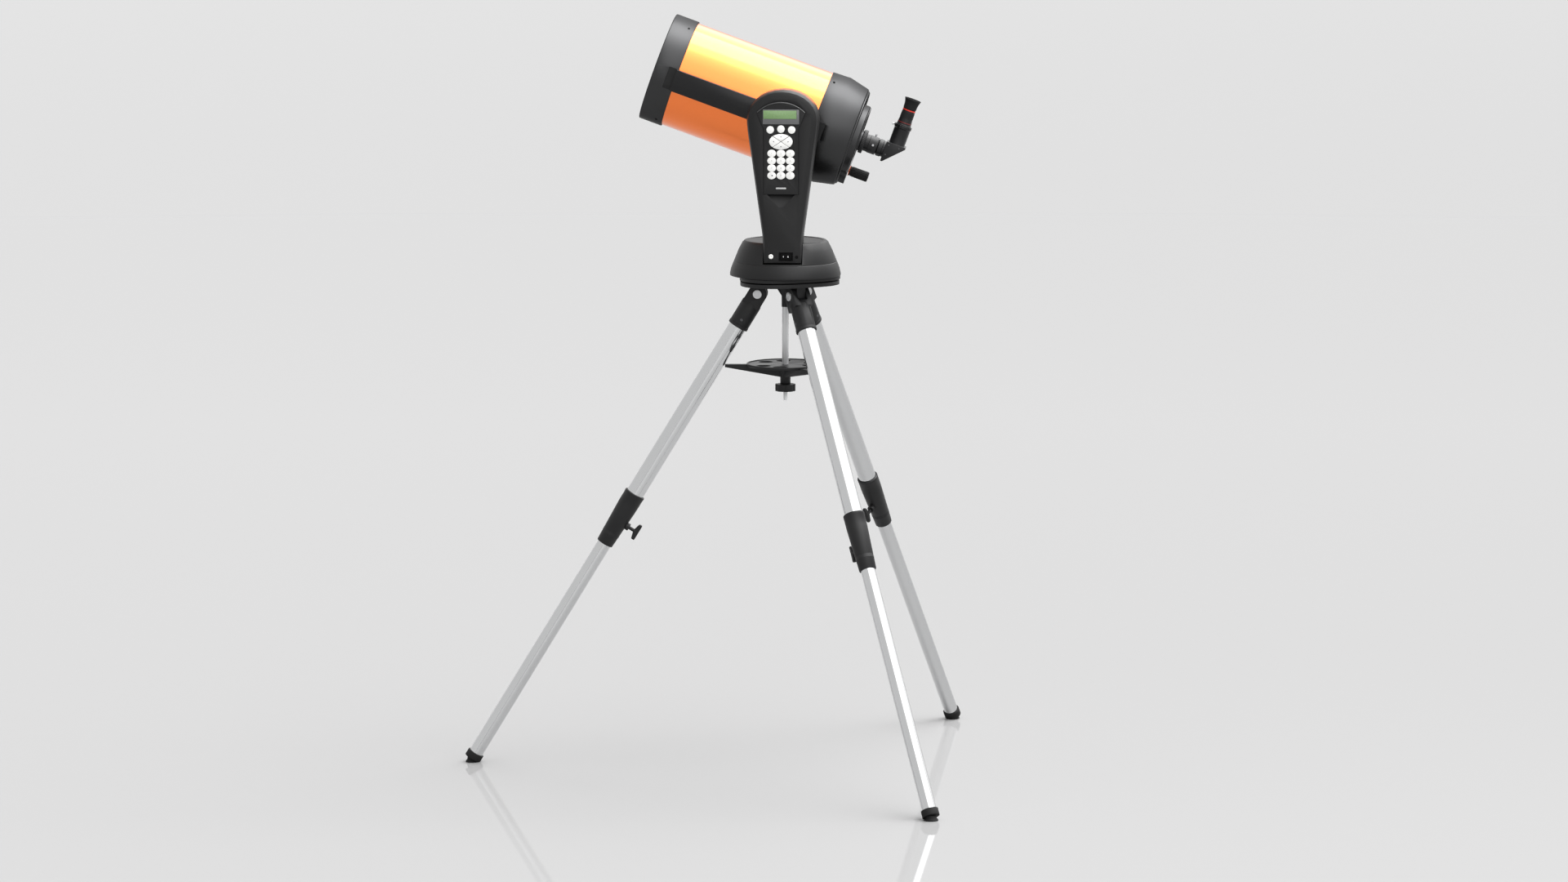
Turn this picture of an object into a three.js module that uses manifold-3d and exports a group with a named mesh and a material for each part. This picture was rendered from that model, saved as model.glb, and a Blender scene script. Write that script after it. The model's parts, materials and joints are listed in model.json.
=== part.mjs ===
// A computerised 203 mm Schmidt-Cassegrain telescope: orange tube with black cells, one fork arm
// with a nested hand controller, a round motorised base and a folding steel tripod.
// Millimetres, +Z up. The tube points towards -X, the arm stands on the -Y side. Heights are drawn from a
// base line just under the floor, and the finished telescope is set down so that the floor is z = 0.
import * as THREE from "three";
import { mergeVertices } from "three/addons/utils/BufferGeometryUtils.js";
import Module from "manifold-3d";

const wasm = await Module();
wasm.setup();

const radians = THREE.MathUtils.degToRad;

// ---------------------------------------------------------------- driving dimensions
const GAP = 0.3; // clearance between neighbours that touch or run on each other

// tripod
const LEG_ANGLES = [180, -60, 60];
const HINGE = { radius: 58, z: 1018, pin: 6, head: 10.5, cheek: 20, slot: 10.6 };
const FLOOR = 6.5;
const FOOT = { cap: 18, capTop: 23.5, capEnd: 9, padAt: 670, pad: 14.5, padTop: 10.5, padHeight: 11 };
const LEG_TILT = radians(31.356);
const LEG_LENGTH = (HINGE.z - FLOOR) / Math.cos(LEG_TILT); // from the hinge along the leg to the floor
const YOKE = { end: 82, radius: 21.5, knuckle: 20, socket: 28 };
const UPPER = { radius: 19, wall: 1.3, start: 30, end: 604 };
const LOWER = { radius: 15, wall: 1.2, start: 462, end: LEG_LENGTH - 16 };
const SLEEVE = { start: 502, end: 628, top: 23, bottom: 17.8 };
const CLAMP = { at: 572, stem: 4, boss: 8, bossEnd: 38, barStart: 38.4, barEnd: 50, barHalf: 18 };
const HEAD_PLATE = { bottom: 1039, top: 1047, mean: 104, lobe: 10 };
const BOSS = { wide: 19, narrow: 8, coneTop: 1030, coneBottom: 1013, bottom: 990 };
const ROD = { radius: 6.5, thread: 4.2, top: 1026, shoulder: 829, bottom: 791 };
const TRAY = { radius: 82, top: 868, plate: 4, rim: 2, hub: 11, hubBottom: 826, ribBottom: 841 };
const TRAY_ARM = { reach: 127.5, width: 14, tipBottom: 861 };
const TRAY_HOLE = { radius: 15.5, at: 56, spread: 22 };
const TRAY_KNOB = { radius: 21.5, top: 825.6, bottom: 811, lobes: 6 };

// drive base and turntable, turning about the vertical axis
const DRIVE = { bottom: 1047.3, step: 1050.3, top: 1057.3, mean: 105.5, lobe: 10.5 };
const SPINDLE = { radius: 16, top: 1108 };
const GEAR = { bottom: 1064, top: 1072, radius: 66, teeth: 24, tooth: 5 };
const TABLE = { bottom: 1058.2, seam: 1087, rimZ: 1129, top: 1132, wall: 4 };
const TABLE_R = { skirt: 117, low: 114.8, seam: 109, shoulder: 98.4, rim: 89, top: 86, recess: 80 };

// fork arm
const ARM = { front: -104, back: -41, bottom: 1090, bevel: 12 };
const ARM_HALF = { foot: 41, knee: 42.5, flank: 66.7, head: 74.7 };
const ARM_Z = { knee: 1152, flank: 1327, head: 1395, top: 1455 };
const ARM_CAVITY = { front: -80, inset: 7, bottom: 1098 };
const COVER = { front: -40.7, back: -37.7, inset: 3 };
const PIVOT_Z = 1383;
const PANEL = { z: 1107, switchX: 7.5, socketX: -23.6 };
const SWITCH = { half: 11.3, height: 13.2, tilt: 8, depth: 4, rise: 1.6 };

// hand controller in its pocket on the arm, along x = HAND.x
const HAND = { x: -2.5, front: -105.8, back: -88.4, floor: -88, bottom: 1238, half: 36.5 };
const HAND_HEAD = { half: 51, z: 1410, rise: 21.7, neckHalf: 40, neckZ: 1382, stripZ: 1376 };
const WINDOW = { half: 38, bottom: 1384.8, top: 1415.5, front: -106.1, thick: 1.6 };
const KEY = { front: -108, back: -103.6, floor: -102, gap: 0.4 };
const TOP_KEYS = { radius: 7.9, z: 1373, pitch: 22.4, middleRise: 1.6 };
const PAD = { z: 1348.4, halfX: 24.4, halfZ: 16.2, split: 0.5, heart: 2.4 };
const NUMBERS = { topZ: 1323.7, pitchX: 19.4, pitchZ: 15.4, halfX: 9.15, halfZ: 7.9 };

// optical tube, along its own axis: 0 at the altitude pivot, positive towards the sky
const ALTITUDE = 20;
const TUBE = { y: 112, rise: 4.5, radius: 114, wall: 1.3, front: 252, back: -62 };
const FRONT = { back: 246.4, front: 297, radius: 117, seat: 287, clear: 101.6, glass: 104.2 };
const REAR = { front: -57, shoulder: -96, rim: -139, back: -141, wall: 5 };
const REAR_R = { front: 116, shoulder: 117.3, rim: 107.5, back: 105, hub: 74.5, port: 22 };
const HUB = { back: -157, portEnd: -163.5, bore: 19.9 };
const FOCUS = { side: 30, drop: 71.4, lobe: 31, front: -158, back: -202, radius: 9.8, ring: 11.6 };
const MIRROR = { radius: 102, hole: 20, front: -52, back: -74 };
const BAFFLE = { radius: 19.5, wall: 1.5, front: 96, back: -157 };
const SECONDARY = { flange: 35, neck: 29.6, front: 296.6, back: 262 };
const RAIL = { half: 23.5, faceY: -18, backY: -3.6, front: 250, back: -60, notch: 18 };
const SADDLE = { disc: 40, front: -37.3, plate: -29.5, floor: -18.4, lip: -6.5, half: 38, jaw: 12 };
const SLIP = { radius: 25.5, front: -162, lip: -168, back: -171 };
const VISUAL = { flange: 21.8, radius: 19.2, front: -164.2, step: -167.6, back: -198, bore: 16.1 };
const DIAGONAL = { nose: 15.8, noseFront: -180, body: -214, corner: -256, low: -24, high: 19.5 };
const HOLDER = { at: -235, radius: 17.4, lip: 18.8, top: 62, lipZ: 55, bore: 16.1, floor: 32 };
const EYEPIECE = { barrel: 15.8, bottom: 34, shoulder: 62.4, top: 108 };

const AXIS_X = 168.75; // puts the origin under the middle of the three feet's box

// ---------------------------------------------------------------- materials
const paint = (color, roughness, metalness = 0) =>
  new THREE.MeshStandardMaterial({ color, roughness, metalness });
const looks = {
  orange: () => paint(0xf2702c, 0.25, 0.1),
  black: () => paint(0x2b2b2c, 0.5),
  rubber: () => paint(0x161616, 0.85),
  steel: () => paint(0xd4d5d6, 0.28, 0.9),
  white: () => paint(0xf4f4f2, 0.45),
  lcd: () => paint(0x86a873, 0.3),
  glass: () => paint(0xc9d8dc, 0.05),
  mirror: () => paint(0xe8e8ea, 0.05, 1),
  brass: () => paint(0xb5975a, 0.35, 0.9),
};

// ---------------------------------------------------------------- shape helpers
// The geometry as a manifold-3d solid, with shared vertices merged and its faces turned out.
function solid(geometry) {
  const bare = geometry.index ? geometry.toNonIndexed() : geometry.clone();
  bare.deleteAttribute("normal");
  bare.deleteAttribute("uv");
  const merged = mergeVertices(bare, 1e-3);
  const source = merged.index.array;
  const faces = [];
  for (let i = 0; i < source.length; i += 3) {
    const [a, b, c] = [source[i], source[i + 1], source[i + 2]];
    if (a !== b && b !== c && c !== a) faces.push(a, b, c);
  }
  const vertProperties = new Float32Array(merged.attributes.position.array);
  const build = (triVerts) =>
    new wasm.Manifold(new wasm.Mesh({ numProp: 3, vertProperties, triVerts }));
  const made = build(new Uint32Array(faces));
  if (made.volume() > 0) return made;
  for (let i = 0; i < faces.length; i += 3) [faces[i + 1], faces[i + 2]] = [faces[i + 2], faces[i + 1]];
  return build(new Uint32Array(faces));
}

// A manifold-3d solid back as a three.js geometry.
function geometryOf(made) {
  const { vertProperties, triVerts } = made.getMesh();
  const geometry = new THREE.BufferGeometry();
  geometry.setAttribute("position", new THREE.BufferAttribute(new Float32Array(vertProperties), 3));
  geometry.setIndex(new THREE.BufferAttribute(new Uint32Array(triVerts), 1));
  geometry.computeVertexNormals();
  return geometry;
}

const join = (first, ...rest) => rest.reduce((sum, part) => sum.add(part), first);
const cut = (first, ...rest) => rest.reduce((left, part) => left.subtract(part), first);

// A body of revolution about Z from [radius, z] points that start and end on the axis or close.
function turned(points, segments) {
  const profile = points.map(([r, z]) => new THREE.Vector2(r, z));
  return new THREE.LatheGeometry(profile, segments).rotateX(Math.PI / 2);
}

const closed = (points) => [...points, points[0]];
const disc = (radius, z0, z1, segments) =>
  turned([[0, z0], [radius, z0], [radius, z1], [0, z1]], segments);
const pipe = (outer, inner, z0, z1, segments) =>
  turned(closed([[inner, z0], [outer, z0], [outer, z1], [inner, z1]]), segments);

const alongX = (geometry) => geometry.rotateY(Math.PI / 2);
const alongY = (geometry) => geometry.rotateX(-Math.PI / 2);

function block(x0, x1, y0, y1, z0, z1) {
  const size = new THREE.BoxGeometry(x1 - x0, y1 - y0, z1 - z0);
  return size.translate((x0 + x1) / 2, (y0 + y1) / 2, (z0 + z1) / 2);
}

// An x-z outline as a plate between two y planes.
function plate(shape, y0, y1, curveSegments = 8) {
  const options = { depth: y1 - y0, bevelEnabled: false, curveSegments };
  return new THREE.ExtrudeGeometry(shape, options).rotateX(Math.PI / 2).translate(0, y1, 0);
}

// An x-y outline as a slab between two heights.
const slab = (shape, z0, z1, curveSegments = 8) =>
  new THREE.ExtrudeGeometry(shape, { depth: z1 - z0, bevelEnabled: false, curveSegments }).translate(0, 0, z0);

function outline(points) {
  return new THREE.Shape(points.map(([x, y]) => new THREE.Vector2(x, y)));
}

function oval(x, z, halfX, halfZ) {
  const shape = new THREE.Shape();
  shape.absellipse(x, z, halfX, halfZ, 0, 2 * Math.PI);
  return shape;
}

// A rounded triangle, mean radius plus a three-lobed wave, with its corners between the legs.
function trefoil(mean, lobe, steps = 48) {
  const points = Array.from({ length: steps }, (_, i) => {
    const angle = (2 * Math.PI * i) / steps;
    const radius = mean + lobe * Math.cos(3 * angle);
    return [radius * Math.cos(angle), radius * Math.sin(angle)];
  });
  return outline(points);
}

function add(group, name, shape, material) {
  const geometry = shape.isBufferGeometry ? geometryOf(solid(shape)) : geometryOf(shape);
  const mesh = new THREE.Mesh(geometry, material());
  mesh.name = name;
  group.add(mesh);
  return mesh;
}

// ---------------------------------------------------------------- tripod
function tripodHead() {
  let head = solid(slab(trefoil(HEAD_PLATE.mean, HEAD_PLATE.lobe), HEAD_PLATE.bottom, HEAD_PLATE.top));
  const cone = [[0, HEAD_PLATE.bottom + 1], [BOSS.wide, HEAD_PLATE.bottom + 1], [BOSS.wide, BOSS.coneTop],
    [BOSS.narrow, BOSS.coneBottom], [BOSS.narrow, BOSS.bottom], [0, BOSS.bottom]];
  head = join(head, solid(turned(cone, 24)));
  for (const angle of LEG_ANGLES) {
    const half = HINGE.slot - 0.6;
    const arm = 16.4;
    const web = block(HINGE.radius - arm, HINGE.radius + arm, -half, half, HINGE.z, HEAD_PLATE.bottom + 1);
    const eye = alongY(disc(arm, -half, half, 20)).translate(HINGE.radius, 0, HINGE.z);
    const hole = alongY(disc(HINGE.pin + GAP, -half - 1, half + 1, 12)).translate(HINGE.radius, 0, HINGE.z);
    const lug = cut(join(solid(web), solid(eye)), solid(hole));
    head = join(head, solid(geometryOf(lug).rotateZ(radians(angle))));
  }
  return cut(head, solid(disc(ROD.radius + GAP, BOSS.bottom - 1, ROD.top + 1, 16)));
}

function centerRod() {
  const { radius, thread, top, shoulder, bottom } = ROD;
  return turned([[0, bottom], [thread, bottom], [thread, shoulder], [radius, shoulder], [radius, top], [0, top]], 16);
}

function accessoryTray() {
  const bottom = TRAY.top - TRAY.plate;
  const bowl = closed([[ROD.radius + 0.6, TRAY.hubBottom], [TRAY.hub, TRAY.hubBottom], [TRAY.hub, TRAY.ribBottom],
    [TRAY.hub + 6, bottom], [TRAY.radius, bottom], [TRAY.radius, TRAY.top + TRAY.rim],
    [TRAY.radius - 3, TRAY.top + TRAY.rim], [TRAY.radius - 3, TRAY.top], [ROD.radius + 0.6, TRAY.top]]);
  let tray = solid(turned(bowl, 30));
  const rib = outline([[TRAY.hub - 2, TRAY.top - 0.5], [TRAY_ARM.reach, TRAY.top - 1.5],
    [TRAY_ARM.reach, TRAY_ARM.tipBottom], [TRAY.hub - 2, TRAY.ribBottom]]);
  for (const angle of LEG_ANGLES) {
    const arm = plate(rib, -TRAY_ARM.width / 2, TRAY_ARM.width / 2);
    tray = join(tray, solid(arm.rotateZ(radians(angle))));
    for (const side of [-1, 1]) {
      const at = radians(angle + 180 + side * TRAY_HOLE.spread);
      const hole = disc(TRAY_HOLE.radius, bottom - 4, TRAY.top + 4, 14);
      hole.translate(TRAY_HOLE.at * Math.cos(at), TRAY_HOLE.at * Math.sin(at), 0);
      tray = cut(tray, solid(hole));
    }
  }
  return tray;
}

function trayKnob() {
  const { radius, top, bottom, lobes } = TRAY_KNOB;
  let knob = solid(disc(radius, bottom, top, 24));
  for (let i = 0; i < lobes; i++) {
    const at = (2 * Math.PI * (i + 0.5)) / lobes;
    const notch = disc(5, bottom - 1, top + 1, 8);
    knob = cut(knob, solid(notch.translate((radius + 2.6) * Math.cos(at), (radius + 2.6) * Math.sin(at), 0)));
  }
  return cut(knob, solid(disc(ROD.thread + 0.4, bottom - 1, top + 1, 16)));
}

function hingePin() {
  const { pin, head, cheek } = HINGE;
  const inner = cheek + GAP;
  const outer = inner + 2.2;
  return alongY(turned([[0, -outer], [head - 1, -outer], [head, -outer + 1], [head, -inner], [pin, -inner],
    [pin, inner], [head, inner], [head, outer - 1], [head - 1, outer], [0, outer]], 12));
}

// The leg's own frame: hinge at the origin, leg down along -Z, +X away from the tripod's middle.
function legYoke() {
  const barrel = solid(disc(YOKE.radius, -YOKE.end, -24, 20));
  const cheeks = solid(block(-YOKE.knuckle, YOKE.knuckle, -HINGE.cheek, HINGE.cheek, -30, 0));
  const knuckle = solid(alongY(disc(YOKE.knuckle, -HINGE.cheek, HINGE.cheek, 20)));
  const slot = solid(block(-30, 30, -HINGE.slot, HINGE.slot, -17, 30));
  const socket = solid(disc(UPPER.radius + GAP, -YOKE.end - 1, -YOKE.socket, 20));
  const bore = solid(alongY(disc(HINGE.pin + GAP, -30, 30, 12)));
  return cut(join(barrel, cheeks, knuckle), slot, socket, bore);
}

const upperTube = () => pipe(UPPER.radius, UPPER.radius - UPPER.wall, -UPPER.end, -UPPER.start, 20);
const lowerTube = () => pipe(LOWER.radius, LOWER.radius - LOWER.wall, -LOWER.end, -LOWER.start, 20);

// The sleeve is stepped inside: the upper tube ends in it and the lower tube runs through its bush.
function clampSleeve() {
  const bush = -UPPER.end - GAP;
  const shell = closed([[SLEEVE.top, -SLEEVE.start], [SLEEVE.top, -SLEEVE.start - 30],
    [SLEEVE.bottom, -SLEEVE.end], [LOWER.radius + GAP, -SLEEVE.end], [LOWER.radius + GAP, bush],
    [UPPER.radius + GAP, bush], [UPPER.radius + GAP, -SLEEVE.start]]);
  const boss = alongX(disc(CLAMP.boss, UPPER.radius - 1, CLAMP.bossEnd, 16)).rotateZ(Math.PI);
  const bore = alongX(disc(CLAMP.stem + GAP, UPPER.radius + GAP, CLAMP.bossEnd + 1, 12)).rotateZ(Math.PI);
  const inside = disc(UPPER.radius + GAP, -SLEEVE.start - 100, -SLEEVE.start - 40, 20);
  const padded = cut(solid(boss.translate(0, 0, -CLAMP.at)), solid(inside));
  return cut(join(solid(turned(shell, 20)), padded), solid(bore.translate(0, 0, -CLAMP.at)));
}

// A T-shaped clamp screw: stem in the sleeve's boss, cross bar in line with the leg at rest.
function clampKnob() {
  const { stem, boss, barStart, barEnd, barHalf } = CLAMP;
  const screw = alongX(turned([[0, UPPER.radius + 1], [stem, UPPER.radius + 1], [stem, barStart],
    [boss - 1, barStart], [boss - 1, barStart + 4], [0, barStart + 4]], 12));
  const bar = outline([[barStart + 2, -6], [barStart + 4, -barHalf], [barEnd, -barHalf], [barEnd - 2, 0],
    [barEnd, barHalf], [barStart + 4, barHalf], [barStart + 2, 6]]);
  const wing = join(solid(screw), solid(plate(bar, -4, 4)));
  return geometryOf(wing).rotateZ(Math.PI).translate(0, 0, -CLAMP.at);
}

// The rubber foot in the frame of the tripod turned to the leg: a sloping cap on a flat pad.
function rubberFoot() {
  const { cap: radius, capTop, capEnd, padAt, pad, padTop, padHeight } = FOOT;
  const onLeg = (geometry) => geometry.rotateY(-LEG_TILT).translate(HINGE.radius, 0, HINGE.z);
  const cap = solid(onLeg(disc(radius, capEnd - LEG_LENGTH, capTop - LEG_LENGTH, 24)));
  const bore = solid(onLeg(disc(LOWER.radius + GAP, -LOWER.end - GAP, capTop - LEG_LENGTH + 20, 20)));
  const under = solid(block(padAt - 60, padAt + 60, -60, 60, FLOOR - 40, FLOOR + 0.5));
  const foot = solid(turned([[0, 0], [pad, 0], [pad, 2], [padTop + 1.2, 5], [padTop, padHeight], [0, padHeight]], 24)
    .translate(padAt, 0, FLOOR));
  return cut(join(cut(cap, under), foot), bore);
}

function tripod() {
  const group = new THREE.Group();
  add(group, "tripod_head", tripodHead(), looks.black);
  add(group, "center_rod", centerRod(), looks.steel);
  add(group, "accessory_tray", accessoryTray(), looks.black);
  add(group, "tray_knob", trayKnob(), looks.black);
  LEG_ANGLES.forEach((angle, i) => {
    const side = new THREE.Group();
    side.rotation.z = radians(angle);
    const leg = new THREE.Group();
    leg.position.set(HINGE.radius, 0, HINGE.z);
    const pin = add(side, `hinge_pin_${i + 1}`, hingePin(), looks.steel);
    pin.position.copy(leg.position);
    leg.rotation.y = -LEG_TILT;
    add(leg, `leg_yoke_${i + 1}`, legYoke(), looks.black);
    add(leg, `upper_tube_${i + 1}`, upperTube(), looks.steel);
    add(leg, `clamp_sleeve_${i + 1}`, clampSleeve(), looks.black);
    add(leg, `clamp_knob_${i + 1}`, clampKnob(), looks.black);
    add(leg, `lower_tube_${i + 1}`, lowerTube(), looks.steel);
    add(side, `rubber_foot_${i + 1}`, rubberFoot(), looks.rubber);
    side.add(leg);
    group.add(side);
  });
  return group;
}

// ---------------------------------------------------------------- drive base and turntable
function driveBase() {
  const ring = solid(slab(trefoil(DRIVE.mean - 12, DRIVE.lobe - 4), DRIVE.bottom, DRIVE.step + 1));
  const deck = solid(slab(trefoil(DRIVE.mean, DRIVE.lobe), DRIVE.step, DRIVE.top));
  const post = solid(turned([[0, DRIVE.top - 1], [30, DRIVE.top - 1], [30, GEAR.bottom - GAP],
    [SPINDLE.radius, GEAR.bottom - GAP], [SPINDLE.radius, SPINDLE.top], [0, SPINDLE.top]], 24));
  return join(ring, deck, post);
}

// The fixed worm wheel that the azimuth drive walks around.
function azimuthGear() {
  const { radius, teeth, tooth, bottom, top } = GEAR;
  const points = [];
  for (let i = 0; i < teeth; i++) {
    for (const [part, height] of [[0, 0], [0.2, tooth], [0.5, tooth], [0.7, 0]]) {
      const angle = (2 * Math.PI * (i + part)) / teeth;
      points.push([(radius - tooth + height) * Math.cos(angle), (radius - tooth + height) * Math.sin(angle)]);
    }
  }
  const wheel = solid(slab(outline(points), bottom, top));
  return cut(wheel, solid(disc(SPINDLE.radius + GAP, bottom - 1, top + 1, 24)));
}

function turntable() {
  const { bottom, seam, rimZ, top, wall } = TABLE;
  const { skirt, low, seam: seamR, shoulder, rim, top: topR, recess } = TABLE_R;
  const boss = 24;
  const shell = [[0, SPINDLE.top + 1.5], [SPINDLE.radius + GAP, SPINDLE.top + 1.5],
    [SPINDLE.radius + GAP, GEAR.top + 1.5], [boss, GEAR.top + 1.5], [boss, top - 7], [topR - wall, top - 7],
    [seamR - wall - 1, seam], [skirt - wall, bottom + 6], [skirt - wall, bottom],
    [skirt, bottom], [skirt, bottom + 4], [low, bottom + 14], [seamR + 0.4, seam - 0.7],
    [seamR - 0.8, seam], [seamR - 0.3, seam + 0.7], [shoulder, seam + 26], [rim + 1.4, rimZ - 1], [topR, top],
    [recess, top], [recess - 1, top - 1.2], [0, top - 1.2]];
  const half = ARM_HALF.foot + 0.4;
  const notch = block(-half, half, -140, COVER.back + 0.4, ARM.bottom - 0.4, top + 10);
  const ledge = block(-half - 4, half + 4, -120, 0.4 - boss, ARM.bottom - 4.4, ARM.bottom);
  const inside = disc(seamR - 2, bottom, top, 40);
  const core = disc(boss - 1, bottom, top + 1, 24);
  const floor = solid(ledge).intersect(solid(inside)).subtract(solid(core));
  return cut(join(solid(turned(shell, 40)), floor), solid(notch));
}

// ---------------------------------------------------------------- fork arm
// The arm's outline seen along +Y: straight foot, flanks that widen upwards and a domed head.
function armShape(inset, bottom) {
  const shape = new THREE.Shape();
  const foot = ARM_HALF.foot - inset;
  const knee = ARM_HALF.knee - inset;
  const flank = ARM_HALF.flank - inset;
  const head = ARM_HALF.head - inset;
  shape.moveTo(-foot, bottom);
  shape.lineTo(foot, bottom);
  shape.lineTo(foot, ARM_Z.knee - 20);
  shape.lineTo(knee, ARM_Z.knee);
  shape.lineTo(flank, ARM_Z.flank);
  shape.quadraticCurveTo(head, ARM_Z.flank + 48, head, ARM_Z.head);
  shape.absellipse(0, ARM_Z.head, head, ARM_Z.top - inset - ARM_Z.head, 0, Math.PI);
  shape.quadraticCurveTo(-head, ARM_Z.flank + 48, -flank, ARM_Z.flank);
  shape.lineTo(-knee, ARM_Z.knee);
  shape.lineTo(-foot, ARM_Z.knee - 20);
  return shape;
}

// The controller's outline: a fan-shaped head with an arched top on a straight keypad strip.
function handShape(grow = 0) {
  const { half: headHalf, z, rise, neckHalf, neckZ, stripZ } = HAND_HEAD;
  const wide = headHalf + grow;
  const lift = rise + grow;
  const radius = (wide ** 2 + lift ** 2) / (2 * lift);
  const span = Math.asin(wide / radius);
  const shape = new THREE.Shape();
  shape.moveTo(HAND.x - HAND.half - grow, HAND.bottom - grow);
  shape.lineTo(HAND.x + HAND.half + grow, HAND.bottom - grow);
  shape.lineTo(HAND.x + HAND.half + grow, stripZ);
  shape.lineTo(HAND.x + neckHalf + grow, neckZ);
  shape.lineTo(HAND.x + wide, z);
  shape.absarc(HAND.x, z + lift - radius, radius, Math.PI / 2 - span, Math.PI / 2 + span);
  shape.lineTo(HAND.x - neckHalf - grow, neckZ);
  shape.lineTo(HAND.x - HAND.half - grow, stripZ);
  return shape;
}

function armShell() {
  const { front, back, bottom, bevel } = ARM;
  const rounded = new THREE.ExtrudeGeometry(armShape(0, bottom), {
    depth: back - front, bevelThickness: bevel, bevelSize: bevel, bevelOffset: -bevel, bevelSegments: 2,
    curveSegments: 7 });
  const body = solid(rounded.rotateX(Math.PI / 2).translate(0, back + bevel, 0));
  const behind = solid(block(-200, 200, back, back + 60, bottom - 50, ARM_Z.top + 50));
  const cavity = solid(plate(armShape(ARM_CAVITY.inset, ARM_CAVITY.bottom), ARM_CAVITY.front, back + 1));
  const pocket = solid(plate(handShape(0.6), front - 20, HAND.floor));
  // the finger recess under the controller: a V that gets deeper towards the controller
  const vee = plate(outline([[HAND.x - 34, 31], [HAND.x - 5, 0], [HAND.x + 5, 0], [HAND.x + 34, 31]]), -60, 0.8);
  const finger = solid(vee.rotateX(radians(-13)).translate(0, front, HAND.bottom - 27));
  const rocker = solid(block(PANEL.switchX - 12.8, PANEL.switchX + 12.8, front - 20, front + 8,
    PANEL.z - 7.4, PANEL.z + 7.4));
  const socket = solid(alongY(disc(5, front - 20, front + 9, 16)).translate(PANEL.socketX, 0, PANEL.z));
  return cut(body, behind, cavity, pocket, finger, rocker, socket);
}

function armCover() {
  const lid = solid(plate(armShape(COVER.inset, ARM.bottom + 4), COVER.front, COVER.back));
  return cut(lid, solid(alongY(disc(16.4, -60, -20, 24)).translate(0, 0, PIVOT_Z)));
}

// A rocker with a shallow V front, lying over to one side at rest.
function powerSwitch() {
  const { half, height, tilt, depth, rise } = SWITCH;
  const profile = outline([[-half, depth], [half, depth], [half, -rise], [0, 0], [-half, -rise]]);
  const rocker = slab(profile, -height / 2, height / 2).rotateZ(radians(-tilt));
  return rocker.translate(PANEL.switchX, ARM.front + 0.4, PANEL.z);
}

function powerSocket() {
  const face = ARM.front;
  const profile = [[0, -face + 0.8], [2, -face + 0.8], [2.4, -face + 1.8], [5.8, -face + 1.8],
    [5.8, -face + GAP], [4.7, -face + GAP], [4.7, -face - 8], [0, -face - 8]];
  return alongY(turned(profile, 20)).rotateZ(Math.PI).translate(PANEL.socketX, 0, PANEL.z);
}

function fork() {
  const group = new THREE.Group();
  add(group, "drive_base", driveBase(), looks.black);
  add(group, "azimuth_gear", azimuthGear(), looks.brass);
  add(group, "turntable", turntable(), looks.black);
  add(group, "arm_shell", armShell(), looks.black);
  add(group, "arm_cover", armCover(), looks.black);
  add(group, "power_switch", powerSwitch(), looks.rubber);
  add(group, "power_socket", powerSocket(), looks.white);
  return group;
}

// ---------------------------------------------------------------- hand controller
const topKeySpots = [-1, 0, 1].map((i) => [HAND.x + i * TOP_KEYS.pitch,
  TOP_KEYS.z + (i === 0 ? TOP_KEYS.middleRise : 0)]);
const numberColumns = [-1, 0, 1].map((i) => HAND.x + i * NUMBERS.pitchX);

const keyCap = (shape) => plate(shape, KEY.front, KEY.back);

// One column of the number pad: four oval keys that grow into one another.
function numberStrip(x, grow, y0, y1) {
  const ovals = [0, 1, 2, 3].map((row) => oval(x, NUMBERS.topZ - row * NUMBERS.pitchZ,
    NUMBERS.halfX + grow, NUMBERS.halfZ + grow));
  return join(...ovals.map((shape) => solid(plate(shape, y0, y1, 6))));
}

// A quarter of the oval direction pad, centred on the given angle.
function arrowKey(angle) {
  const pad = solid(keyCap(oval(HAND.x, PAD.z, PAD.halfX, PAD.halfZ)));
  const corner = Math.atan2(PAD.halfZ, PAD.halfX);
  const sideways = angle % 180 === 0;
  const spread = sideways ? corner : Math.PI / 2 - corner;
  const at = radians(angle);
  const shift = (sideways ? PAD.split / Math.sin(corner) : PAD.split / Math.cos(corner)) / 2 + PAD.heart / 2;
  const tip = [HAND.x + shift * Math.cos(at), PAD.z + shift * Math.sin(at)];
  const reach = 60;
  const edge = (a) => [tip[0] + reach * Math.cos(at + a), tip[1] + reach * Math.sin(at + a)];
  const wedge = outline([tip, edge(-spread), edge(spread)]);
  return pad.intersect(solid(plate(wedge, KEY.front - 5, KEY.back + 5)));
}

function handsetBody() {
  const body = solid(plate(handShape(), HAND.front, HAND.back));
  const window = solid(block(HAND.x - WINDOW.half - GAP, HAND.x + WINDOW.half + GAP, HAND.front - 5,
    WINDOW.front + WINDOW.thick + GAP, WINDOW.bottom - GAP, WINDOW.top + GAP));
  const rounds = topKeySpots.map(([x, z]) => oval(x, z, TOP_KEYS.radius + KEY.gap, TOP_KEYS.radius + KEY.gap));
  const pockets = [...rounds, oval(HAND.x, PAD.z, PAD.halfX + KEY.gap, PAD.halfZ + KEY.gap)];
  const wells = pockets.map((shape) => solid(plate(shape, HAND.front - 5, KEY.floor)));
  const strips = numberColumns.map((x) => numberStrip(x, KEY.gap + 0.1, HAND.front - 5, KEY.floor));
  return cut(body, window, ...wells, ...strips);
}

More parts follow.
